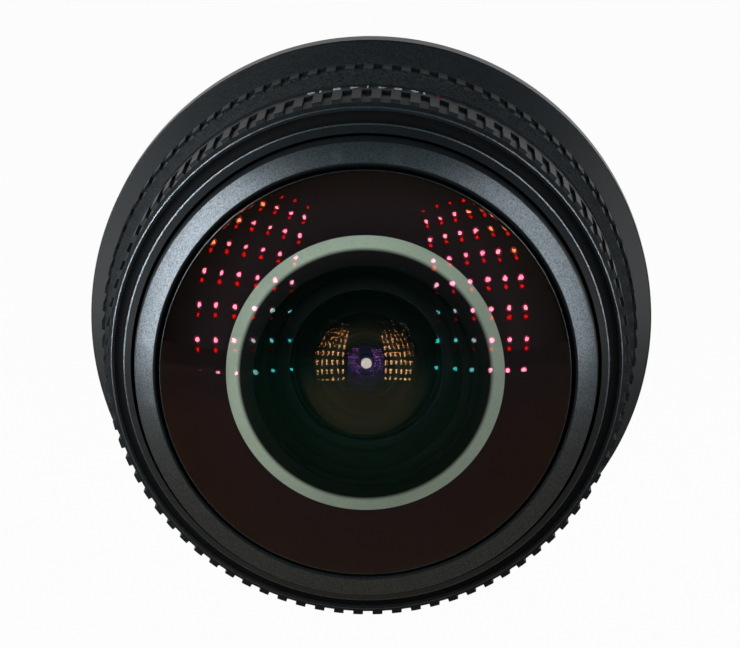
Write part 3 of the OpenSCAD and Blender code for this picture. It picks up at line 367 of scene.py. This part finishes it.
# Seal: the black ring in the gap between the bezel and the glass.
# Moulded rubber, pinched under the bezel's lip.
def mottled(name, dark, light, grain, detail, surface, satin=None, pits=None, noise_roughness=0.5):
    """A finish between two tones over a noise, whose size is given in mm, once or along x, y and z.

    satin is a span of roughness that follows the noise, and pits is the strength and depth in mm of its bump.
    """
    material, tree = new_material(name)
    where = add(tree, "TexCoord", {}).outputs["Object"]
    if isinstance(grain, tuple):
        scale = 1.0
        where = add(tree, "Mapping", {"Vector": where, "Scale": [1 / (size * MM) for size in grain]}).outputs[0]
    else:
        scale = 1 / (grain * MM)
    noise = add(tree, "TexNoise", {
        "Vector": where, "Scale": scale, "Detail": detail, "Roughness": noise_roughness}).outputs[0]
    tone = add(tree, "Mix", {0: noise, 6: linear(dark), 7: linear(light)}, data_type="RGBA")
    inputs = {"Base Color": tone.outputs[2], **surface}
    if satin:
        span = add(tree, "MapRange", {"Value": noise, "To Min": satin[0], "To Max": satin[1]})
        inputs["Roughness"] = span.outputs[0]
    if pits:
        bump = add(tree, "Bump", {"Height": noise, "Strength": pits[0], "Distance": pits[1] * MM})
        inputs["Normal"] = bump.outputs[0]
    shader = add(tree, "BsdfPrincipled", inputs)
    add(tree, "OutputMaterial", {"Surface": shader.outputs[0]})
    return material


# Moulded rubber: deep black and matt, so that the gap reads as a shadow line.
rubber = mottled(
    "moulded_rubber_black", "#060607", "#0f1011", grain=0.3, detail=4, pits=(0.2, 0.03),
    surface={"Roughness": 0.7, "IOR": 1.5})
seal_bore, seal_r, seal_back, seal_front = 20.68, 21.8, 32.6, 33.3
seal = turned("seal_bead", [
    (seal_bore, seal_back), (seal_r, seal_back), (seal_r, seal_front), (seal_bore, seal_front)], edge=0.2)
to_metres(seal, smooth_below=50)
wear(seal, rubber)
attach(seal, "cell")
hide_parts("front_seal")


# Front element: the domed meniscus, its edge and the outer part of its back blackened.
# Polished optical glass with a thin coating that tints its weak reflections green at the middle and rose at the rim.
GLASS_INDEX = 1.7


def coating(name, stops):
    """Polished glass; the tint of its weak reflection is given at distances from the axis in mm. Shadows pass it."""
    material, tree = new_material(name)
    where = add(tree, "TexCoord", {}).outputs["Object"]
    flat = add(tree, "VectorMath", {0: where, 1: (1, 0, 1)}, operation="MULTIPLY")
    radius = add(tree, "VectorMath", {0: flat.outputs[0]}, operation="LENGTH")
    reach = stops[-1][0]
    share = add(tree, "Math", {0: radius.outputs["Value"], 1: reach * MM}, operation="DIVIDE")
    tint = add(tree, "ValToRGB", {"Fac": share.outputs[0]}, stops=[(at / reach, linear(hue)) for at, hue in stops])
    shader = add(tree, "BsdfPrincipled", {
        "Base Color": linear("#ffffff"), "Roughness": 0.0, "IOR": GLASS_INDEX, "Transmission Weight": 1.0,
        "Specular Tint": tint.outputs[0]})
    path = add(tree, "LightPath", {})
    clear = add(tree, "BsdfTransparent", {"Color": linear("#f2f5f2")})
    both = add(tree, "MixShader", {0: path.outputs["Is Shadow Ray"], 1: shader.outputs[0], 2: clear.outputs[0]})
    add(tree, "OutputMaterial", {"Surface": both.outputs[0]})
    return material


def cap(radius, centre, edge_r, count):
    """Points of a polished face, from the axis to its edge, for a sphere about a point on the axis."""
    spread = math.degrees(math.asin(edge_r / radius))
    return [(0.0, centre + radius)] + arc(radius, 0, centre, 90, 90 - spread, count)[1:]


# The coat on the dome, and the amber one in the hollow behind it, which ends short of the hollow's edge.
coated = coating("optical_glass_coated", [
    (0.0, "#12a08e"), (9.0, "#0eb07c"), (11.5, "#42a67e"), (13.0, "#e8b2b8"), (14.5, "#ffb2b2"), (18.5, "#ffaaa2"),
    (21.0, "#ffb688")])
coated_amber = coating("optical_glass_amber_coat", [
    (0.0, "#fff0b8"), (4.0, "#ffecac"), (5.2, "#b89858"), (6.2, "#101010")])

# Edge blacking: a dead black lacquer that swallows stray light.
edge_paint = mottled(
    "edge_blacking_lacquer", "#0c0c0c", "#131313", grain=0.5, detail=3,
    surface={"Roughness": 0.9, "IOR": 1.5, "Specular IOR Level": 0.0})

# Ground glass: the chamfer at the hollow is left as ground, and shows as a pale matt ring.
# The lacquer runs out softly over its inner edge.
chamfer_in, chamfer_out = 11.35, 12.6
bare_from, bare_to = 11.3, 11.75
frosted, tree = new_material("ground_glass_frosted")
where = add(tree, "TexCoord", {}).outputs["Object"]
grain = add(tree, "TexNoise", {"Vector": where, "Scale": 1 / (0.25 * MM), "Detail": 4})
tone = add(tree, "Mix", {0: grain.outputs[0], 6: linear("#a1ac97"), 7: linear("#b9c4ae")}, data_type="RGBA")
flat = add(tree, "VectorMath", {0: where, 1: (1, 0, 1)}, operation="MULTIPLY")
radius = add(tree, "VectorMath", {0: flat.outputs[0]}, operation="LENGTH")
bare = add(tree, "MapRange", {
    "Value": radius.outputs["Value"], "From Min": bare_from * MM, "From Max": bare_to * MM},
    interpolation_type="SMOOTHSTEP")
tone = add(tree, "Mix", {0: bare.outputs[0], 6: linear("#0b0b0c"), 7: tone.outputs[2]}, data_type="RGBA")
shader = add(tree, "BsdfPrincipled", {
    "Base Color": tone.outputs[2], "Roughness": 0.8, "IOR": 1.5, "Specular IOR Level": 0.1})
add(tree, "OutputMaterial", {"Surface": shader.outputs[0]})

# Ground rim: the narrow bevel round the dome, darkened by the lacquer behind it, with a soft shine.
rim = anodise("ground_glass_rim", "#1c2023", "#2a2f33", grain_size=0.12, gloss=0.22, level=1.0, depth=0.05)

dome_edge, glass_neck, glass_r, hollow_edge = 20.58, 20.65, 21.8, 10.2
glass_back, glass_step, bevel_from = 31.0, 32.6, 34.4
front_element = turned(
    "front_dome", cap(radius=34, centre=7.48931, edge_r=dome_edge, count=60)
    + [(glass_neck, 34.48), (glass_neck, glass_step), (glass_r, glass_step), (glass_r, glass_back),
       (chamfer_out, glass_back), (chamfer_in, 31.875)]
    + cap(radius=12.5, centre=25.4493, edge_r=hollow_edge, count=40)[::-1], edge=0, closed=False)
to_metres(front_element, smooth_below=20)
wear(front_element, coated, edge_paint, frosted, coated_amber, rim)
for face in front_element.data.polygons:
    r, ahead = placed(face)
    if -face.normal.y > 0.1 and ahead > bevel_from:
        face.material_index = 4 if r > dome_edge else 0
    elif chamfer_in < r < chamfer_out:
        face.material_index = 2
    else:
        face.material_index = 1 if r > hollow_edge + 0.01 else 3
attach(front_element, "cell")
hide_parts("front_element")


# Second element: the deep meniscus behind the front glass, blackened like it.
# Polished optical glass with a rose coat on its front and a violet one in its hollow, held by a threaded ring.
def lacquer_edge(glass, rim_r, hollow_r):
    """Blackens a lens's rim and the flat ring round its hollow at the back; the radii are in mm."""
    for face in glass.data.polygons:
        r, _ = placed(face)
        if r > rim_r - 0.01 or (face.normal.y > 0.99 and r > hollow_r):
            face.material_index = 1


coated_rose = coating("optical_glass_rose_coat", [
    (0.0, "#7e5e62"), (5.0, "#6a4c50"), (6.0, "#4a3438"), (6.7, "#121314"), (8.0, "#0c0d0e")])
coated_violet = coating("optical_glass_violet_coat", [(0.0, "#6a48d8"), (6.0, "#8a5cdc")])
second_r, second_hollow = 11, 6.2
second_element = turned(
    "second_glass", cap(radius=19, centre=14.0081, edge_r=second_r, count=40) + [(second_r, 27.0)]
    + cap(radius=6.6, centre=24.7373, edge_r=second_hollow, count=36)[::-1], edge=0, closed=False)
to_metres(second_element)
wear(second_element, coated_rose, edge_paint, coated_violet)
lacquer_edge(second_element, second_r, second_hollow)
for face in second_element.data.polygons:
    if face.material_index == 0 and face.normal.y > 0:
        face.material_index = 2
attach(second_element, "cell")
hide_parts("second_element")

# Third element: a smaller meniscus behind it, in the same glass with the violet coat on both faces.
# It sits on a shoulder of the cell under a spacer.
third_r, third_hollow = 7.2, 5.4
third_element = turned(
    "third_glass", cap(radius=30, centre=-4.00319, edge_r=third_r, count=30) + [(third_r, 22.62)]
    + cap(radius=7, centre=18.1658, edge_r=third_hollow, count=30)[::-1], edge=0, closed=False)
to_metres(third_element)
wear(third_element, coated_violet, edge_paint)
lacquer_edge(third_element, third_r, third_hollow)
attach(third_element, "cell")
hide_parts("third_element")

# Inner glass: the two cemented pairs and the last element, kept from the CAD model.
# Clear optical glass whose coating gives only a faint violet reflection.
clear_glass, tree = new_material("optical_glass_inner")
gloss = add(tree, "BsdfGlossy", {"Color": linear("#8a5cff"), "Roughness": 0.02})
clear = add(tree, "BsdfTransparent", {"Color": linear("#fdfcfa")})
both = add(tree, "MixShader", {0: 0.05, 1: clear.outputs[0], 2: gloss.outputs[0]})
add(tree, "OutputMaterial", {"Surface": both.outputs[0]})
for name in ("front_crown", "front_flint", "rear_flint", "rear_crown", "rear_element"):
    wear(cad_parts[name], clear_glass)

# Cell and its rings: the tubes, spacers and threaded retainers that hold the glass, with the iris housing.
# Aluminium, turned and anodised matt black to kill stray light; the ring in front is a little smoother.
matt = mottled(
    "anodised_aluminium_matt", "#0a0a0a", "#101010", grain=0.2, detail=3, pits=(0.2, 0.02),
    surface={"Roughness": 0.6, "IOR": 1.5, "Specular IOR Level": 0.1})
for name in ("main_cell", "element_spacer", "doublet_retainer", "iris_housing", "rear_cell", "rear_doublet_retainer",
             "rear_retainer", "aperture_fork", "iris_ring"):
    wear(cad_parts[name], matt)
ring_black = anodise(
    "anodised_aluminium_ring", "#090a0b", "#141617", grain_size=0.16, gloss=0.4, level=0.14, depth=0.2)
wear(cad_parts["second_retainer"], ring_black)

# Iris blades: six thin leaves that close the opening.
# Spring steel, blackened, with a faint oily sheen along the rolling direction.
BLADES = 6
blued = mottled(
    "spring_steel_blackened", "#141416", "#26262a", grain=(0.1, 0.1, 2), detail=2, satin=(0.3, 0.5),
    surface={"Metallic": 1.0})
for number in range(1, BLADES + 1):
    wear(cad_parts[f"iris_blade_{number}"], blued)

# Brass parts: the guide keys, the guide screws and the pin that drives the iris.
# Turned brass, warm yellow and a little dulled, with fine tool rings about the axis.
tool_rings = (6, 0.12, 6)
brass = mottled(
    "turned_brass", "#8d6f36", "#c7a561", grain=tool_rings, detail=3, satin=(0.22, 0.42), surface={"Metallic": 1.0})
for name in ("guide_keys", "focus_guide_screws", "iris_drive_pin"):
    wear(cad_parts[name], brass)

# Focus carrier: the threaded sleeve under the focus ring, seen only as a dark line beside the bezel.
# Brass, turned and chemically blackened, so that it is brown-black and dull.
black_brass = mottled(
    "brass_blackened", "#0b0a09", "#171411", grain=tool_rings, detail=3,
    surface={"Roughness": 0.6, "IOR": 1.5, "Specular IOR Level": 0.2})
wear(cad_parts["focus_carrier"], black_brass)

# Bayonet: the plate that seats on the camera, with a spigot and three claws.
# Brass, turned and plated with hard chrome, so that fine rings run about the axis.
chrome, tree = new_material("chromed_brass_turned")
where = add(tree, "TexCoord", {}).outputs["Object"]
flat = add(tree, "VectorMath", {0: where, 1: (1, 0, 1)}, operation="MULTIPLY")
radius = add(tree, "VectorMath", {0: flat.outputs[0]}, operation="LENGTH")
split = add(tree, "SeparateXYZ", {0: where})
rings = add(tree, "CombineXYZ", {0: radius.outputs["Value"], 1: split.outputs[1]})
lines = add(tree, "TexNoise", {"Vector": rings.outputs[0], "Scale": 1 / (0.12 * MM), "Detail": 3})
tone = add(tree, "Mix", {0: lines.outputs[0], 6: linear("#b4b6b7"), 7: linear("#d5d6d6")}, data_type="RGBA")
satin = add(tree, "MapRange", {"Value": lines.outputs[0], "To Min": 0.16, "To Max": 0.36})
cuts = add(tree, "Bump", {"Height": lines.outputs[0], "Strength": 0.12, "Distance": 0.01 * MM})
shader = add(tree, "BsdfPrincipled", {
    "Base Color": tone.outputs[2], "Metallic": 1.0, "Roughness": satin.outputs[0], "Normal": cuts.outputs[0]})
add(tree, "OutputMaterial", {"Surface": shader.outputs[0]})

spigot_bore, spigot_r, plate_r, spigot_end = 17.4, 19.2, 28.15, -5.5
claw_r, claw_back, claw_front, claw_half, claw_pitch = 20.9, -3.4, -2.0, 28, 120
relief_r, relief = 21.6, 0.2
baffle_seat_r, baffle_seat = 18.33, 1.42
screw_circle, screw_head_r, screw_hole_r, pin_hole_r = 24.875, 1.66, 0.83, 1.3
bayonet = turned("bayonet", [
    (spigot_bore, spigot_end), (spigot_r, spigot_end), (spigot_r, claw_back), (spigot_r, claw_front),
    (spigot_r, relief), (relief_r, relief), (relief_r, 0.0), (plate_r, 0.0), (plate_r, seat_depth),
    (baffle_seat_r, seat_depth), (baffle_seat_r, baffle_seat), (spigot_bore, baffle_seat)], steps=360, edge=0)
raise_faces(
    bayonet, lambda turn, ahead: claw_back < ahead < claw_front
    and abs((turn - 90 + claw_pitch / 2) % claw_pitch - claw_pitch / 2) < claw_half, spigot_r, claw_r)
break_edges(bayonet, 0.1)
for turn in (45, 135, 225, 315):
    bore(bayonet, screw_head_r, on_circle(screw_circle, turn, -1.0), on_circle(screw_circle, turn, 0.86))
    bore(bayonet, screw_hole_r, on_circle(screw_circle, turn, -1.0), on_circle(screw_circle, turn, 3.0))
bore(bayonet, pin_hole_r, (-screw_circle, 1.0, 0), (-screw_circle, -1.6, 0))
to_metres(bayonet)
wear(bayonet, chrome)
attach(bayonet, "barrel")
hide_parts("mount_ring")

# Screws and the stop pin: cross-head screws in the bayonet and small screws inside.
# Zinc-plated steel, slightly yellowed, with a soft shine; the set screws of the focus ring are black.
steel = mottled(
    "zinc_plated_steel", "#8f9293", "#b7b8b4", grain=0.4, detail=3, satin=(0.25, 0.45), surface={"Metallic": 1.0})
for name in ("mount_screws", "body_screws", "key_screws", "focus_stop_pin", "fork_screws"):
    wear(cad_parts[name], steel)
wear(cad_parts["focus_set_screws"], anodised)

# Rear baffle: the black cup inside the bayonet with the opening for the light.
# Moulded ABS with a fine eroded texture that keeps it matt.
abs_black = mottled(
    "moulded_abs_matt", "#0d0e0f", "#1b1c1d", grain=0.25, detail=4, pits=(0.4, 0.04), noise_roughness=0.65,
    surface={"Roughness": 0.6, "IOR": 1.54})
wear(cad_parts["rear_baffle"], abs_black)

# Mounting dot: the red bead in the flange that lines up with the camera.
# Enamel over a small pin, glossy and slightly uneven.
red_enamel = mottled(
    "enamel_red", "#b01812", "#d9261c", grain=0.6, detail=2, surface={"Roughness": 0.25, "IOR": 1.5})
wear(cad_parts["alignment_dot"], red_enamel)


# Scale barrel: the fixed band between the two toothed rings, with a depth scale of plain numbers and a red index.
# Turned aluminium, anodised black; the marks are engraved and filled with enamel, and lie flat on the barrel.
def engrave(name, words, turn, ahead, size):
    """Words as a thin mesh that lies on the barrel, turn degrees clockwise from the top as seen from the front."""
    bpy.ops.object.select_all(action="DESELECT")
    bpy.ops.object.text_add()
    mark = bpy.context.object
    mark.name = name
    mark.data.body, mark.data.size, mark.data.extrude = words, size * MM, mark_height * MM
    mark.data.align_x, mark.data.align_y = "CENTER", "CENTER"
    bpy.ops.object.convert(target="MESH")
    lift = Matrix.Translation((0, -ahead * MM, mark_r * MM))
    mark.data.transform(Matrix.Rotation(math.radians(turn), 4, "Y") @ lift @ Matrix.Rotation(math.pi, 4, "Z"))
    return mark


wear(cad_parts["scale_barrel"], anodised)

# White enamel: bright and half gloss, uneven where it was wiped off.
white_enamel = mottled(
    "enamel_white", "#c9cac8", "#f2f2ef", grain=0.3, detail=2, surface={"Roughness": 0.4, "IOR": 1.5})
mark_r, mark_height, mark_ahead = 26.605, 0.01, 17.1
number_size, index_size, index_turn = 1.95, 2.6, 15.8
marks = [engrave(f"mark_{i}", words, turn, mark_ahead, number_size) for i, (words, turn) in enumerate([
    ("16", -11.6), ("8", -6.8), ("4", -3.1), ("|", 0.0), ("4", 3.1), ("8", 6.8), ("16", 11.6)])]
bpy.ops.object.select_all(action="DESELECT")
for mark in marks:
    mark.select_set(True)
bpy.context.view_layer.objects.active = marks[0]
bpy.ops.object.join()
depth_scale = bpy.context.object
depth_scale.name = "depth_scale"
wear(depth_scale, white_enamel)
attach(depth_scale, "barrel")
index_mark = engrave("index_mark", "|", index_turn, mark_ahead, index_size)
wear(index_mark, red_enamel)
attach(index_mark, "barrel")

# Floor: a pale plain floor behind and below the lens, which runs to a white backdrop.
# Painted, almost white to the camera and in metal and glass, with a faint trace of the lens's shadow.
floor_width, floor_place, white_share = 4, (0, 1.57, -0.075), 0.97
pale, tree = new_material("painted_floor_pale")
where = add(tree, "TexCoord", {}).outputs["Object"]
cloud = add(tree, "TexNoise", {"Vector": where, "Scale": 3.0, "Detail": 2})
tone = add(tree, "Mix", {0: cloud.outputs[0], 6: linear("#e6e4e2"), 7: linear("#eceae8")}, data_type="RGBA")
shader = add(tree, "BsdfDiffuse", {"Color": tone.outputs[2]})
path = add(tree, "LightPath", {})
seen = add(tree, "Math", {0: path.outputs["Is Camera Ray"], 1: path.outputs["Is Glossy Ray"]}, operation="MAXIMUM")
seen = add(tree, "Math", {0: seen.outputs[0], 1: path.outputs["Is Transmission Ray"]}, operation="MAXIMUM")
white = add(tree, "Emission", {"Color": linear("#ffffff"), "Strength": 1.0})
share = add(tree, "Math", {0: seen.outputs[0], 1: white_share}, operation="MULTIPLY")
both = add(tree, "MixShader", {0: share.outputs[0], 1: shader.outputs[0], 2: white.outputs[0]})
add(tree, "OutputMaterial", {"Surface": both.outputs[0]})
bpy.ops.object.select_all(action="DESELECT")
bpy.ops.mesh.primitive_plane_add(size=floor_width, location=floor_place)
floor = bpy.context.object
floor.name = "floor"
bpy.ops.object.transform_apply(location=True)
wear(floor, pale)

# Board: a stained brown board under and in front of the lens, which only its reflections show.
# A pool of light is painted into its colour round the lens; further off the colour fades, and a painted glow holds it
# at the level of the dim room.
board_size, board_place = (4, 2.66, 1), (0, -1.08, -0.07)
pool_r, pool_fade_r = 0.139, 0.347
brown_board_painted_pool, tree = new_material("board_brown_painted_light_pool")
where = add(tree, "TexCoord", {}).outputs["Object"]
cloud = add(tree, "TexNoise", {"Vector": where, "Scale": 6.0, "Detail": 3})
tone = add(tree, "Mix", {0: cloud.outputs[0], 6: linear("#8f8375"), 7: linear("#9f9383")}, data_type="RGBA")
reach = add(tree, "VectorMath", {0: where}, operation="LENGTH")
# Painted light: the pool makes the board lighter near the lens, and the emission is a painted glow where the pool
# fades.
pool = add(tree, "MapRange", {
    "Value": reach.outputs["Value"], "From Min": pool_r, "From Max": pool_fade_r, "To Min": 1.0, "To Max": 0.12},
    interpolation_type="SMOOTHSTEP")
painted_pool_tone = add(tree, "VectorMath", {0: tone.outputs[2], "Scale": pool.outputs[0]}, operation="SCALE")
painted_room_glow = add(tree, "Math", {0: 1.0, 1: pool.outputs[0]}, operation="SUBTRACT")
shader = add(tree, "BsdfPrincipled", {
    "Base Color": painted_pool_tone.outputs[0], "Roughness": 0.7, "Specular IOR Level": 0.0,
    "Emission Color": linear("#566266"), "Emission Strength": painted_room_glow.outputs[0]})
add(tree, "OutputMaterial", {"Surface": shader.outputs[0]})
bpy.ops.object.select_all(action="DESELECT")
bpy.ops.mesh.primitive_plane_add(size=1, location=board_place)
card = bpy.context.object
card.name = "dark_card"
card.scale = board_size
bpy.ops.object.transform_apply(location=True, rotation=True, scale=True)
wear(card, brown_board_painted_pool)
card.visible_camera = card.visible_shadow = False

# Room: white to the camera and low behind the lens, and dim grey everywhere else.
# It is lightest in a band about fifty degrees off the lens's axis, dimmer straight ahead, and dimmest at the sides.
world = bpy.data.worlds.new("studio")
bpy.context.scene.world = world
world.use_nodes = True
tree = world.node_tree
tree.nodes.clear()
way = add(tree, "SeparateXYZ", {0: add(tree, "TexCoord", {}).outputs["Generated"]})
behind = add(tree, "MapRange", {
    "Value": way.outputs[1], "From Min": 0.2, "From Max": 0.8, "To Min": 0.0, "To Max": 1.0})
low = add(tree, "MapRange", {
    "Value": way.outputs[2], "From Min": 0.12, "From Max": 0.45, "To Min": 1.0, "To Max": 0.0})
lit = add(tree, "Math", {0: behind.outputs[0], 1: low.outputs[0]}, operation="MULTIPLY")
ahead = add(tree, "MapRange", {"Value": way.outputs[1], "From Min": -1.0, "From Max": 0.0})
room = add(tree, "ValToRGB", {"Fac": ahead.outputs[0]}, stops=[
    (0.0, linear("#343a3c")), (0.15, linear("#3c4547")), (0.4, linear("#6b7f85")), (0.8, linear("#242c2e"))])
path = add(tree, "LightPath", {})
share = add(tree, "Math", {0: lit.outputs[0], 1: path.outputs["Is Camera Ray"]}, operation="MAXIMUM")
hue = add(tree, "Mix", {0: share.outputs[0], 6: room.outputs[0], 7: linear("#ffffff")}, data_type="RGBA")
sky = add(tree, "Background", {"Color": hue.outputs[2], "Strength": 1.0})
add(tree, "OutputWorld", {"Surface": sky.outputs[0]})

# Lamps: two panels of small lamps at the front left and right, with a soft light by each that lights the metal.
# The lamps show only in polished glass, as rows of dots with a faint halo and a red dot under each.
# Seen through the front surface, in the coats behind it, they are brighter and amber.
LAMP_GLOW, INNER_GAIN, INNER_HUE = 32, 5, "#ffd0ac"
LAMP_ROWS, LAMP_COLUMNS, LAMP_SIDES = 7, 6, 12
AMBER_STEP = 4
HALO_SETBACK = 1.004
SOFT_REACH, SOFT_WIDTH, SOFT_HEIGHT = 500, 0.36, 0.7
panel_up = Vector((0, 0.14, 0.99))
lens_front = Vector((0, -36, 0))
lamp_kinds = (
    ("white", "#ffb6e0", 1.0, 6.3, 0.0), ("white_halo", "#ff6cb4", 0.06, 11.0, 0.0),
    ("amber", "#ffc8a8", 0.7, 6.3, 0.0), ("amber_halo", "#ff9060", 0.07, 12.0, 0.0),
    ("red", "#ff2018", 0.26, 5.2, 0.29), ("red_halo", "#ff2018", 0.033, 9.0, 0.29))
panels = (
    ("left", 3.3, Vector((-0.87, -0.45, 0.20)), Vector((-319, -334, 191)), Vector((0.65, -0.755, 0.105)), 57.7, 85.3),
    ("right", 1.5, Vector((0.85, -0.47, 0.22)), Vector((302, -353, 184.5)), Vector((-0.73, -0.675, 0.095)), 54.0, 80.4))
for side, energy, aim, centre, across, column_pitch, row_pitch in panels:
    for kind, colour, share, lamp_r, drop in lamp_kinds:
        bpy.ops.object.select_all(action="DESELECT")
        bpy.ops.mesh.primitive_circle_add(vertices=LAMP_SIDES, radius=lamp_r * MM, fill_type="NGON")
        lamps = bpy.context.object
        lamps.name = f"lamps_{side}_{kind}"
        bpy.ops.object.mode_set(mode="EDIT")
        bpy.ops.mesh.delete(type="VERT")
        red = kind.startswith("red")
        first_row = 1 if red else 0
        for row in range(first_row, first_row + LAMP_ROWS):
            for column in range(LAMP_COLUMNS):
                if not red and kind.startswith("amber") != (column <= row - AMBER_STEP):
                    continue
                place = (centre + across * (column - (LAMP_COLUMNS - 1) / 2) * column_pitch
                         + panel_up * (row - (LAMP_ROWS - 1) / 2 - drop) * row_pitch)
                place *= HALO_SETBACK if kind.endswith("halo") else 1
                turn = (lens_front - place).to_track_quat("Z", "Y").to_euler()
                bpy.ops.mesh.primitive_circle_add(
                    vertices=LAMP_SIDES, radius=lamp_r * MM, fill_type="NGON", location=place * MM, rotation=turn)
        bpy.ops.object.mode_set(mode="OBJECT")
        glow, tree = new_material(f"lamp_{side}_{kind}")
        glow.cycles.emission_sampling = "NONE"
        path = add(tree, "LightPath", {})
        mirrored = add(tree, "Math", {0: path.outputs["Is Singular Ray"], 1: LAMP_GLOW * share}, operation="MULTIPLY")
        inner = add(tree, "Math", {0: path.outputs["Transmission Depth"], 1: 1.0}, operation="MINIMUM")
        sparkle = add(tree, "Math", {0: inner.outputs[0], 1: INNER_GAIN, 2: 1.0}, operation="MULTIPLY_ADD")
        strength = add(tree, "Math", {0: mirrored.outputs[0], 1: sparkle.outputs[0]}, operation="MULTIPLY")
        hue = add(tree, "Mix", {0: inner.outputs[0], 6: linear(colour), 7: linear(INNER_HUE)}, data_type="RGBA")
        light = add(tree, "Emission", {"Color": hue.outputs[2], "Strength": strength.outputs[0]})
        add(tree, "OutputMaterial", {"Surface": light.outputs[0]})
        wear(lamps, glow)
        lamps.visible_camera = lamps.visible_diffuse = False
    soft = bpy.data.lights.new(f"soft_{side}", "AREA")
    soft.shape, soft.size, soft.size_y, soft.energy = "RECTANGLE", SOFT_WIDTH, SOFT_HEIGHT, energy
    soft.color = linear("#f6faff")[:3]
    soft.cycles.use_multiple_importance_sampling = False
    softbox = bpy.data.objects.new(f"soft_{side}", soft)
    softbox.location = (lens_front + SOFT_REACH * aim) * MM
    softbox.rotation_euler = aim.to_track_quat("Z", "Y").to_euler()
    bpy.context.scene.collection.objects.link(softbox)
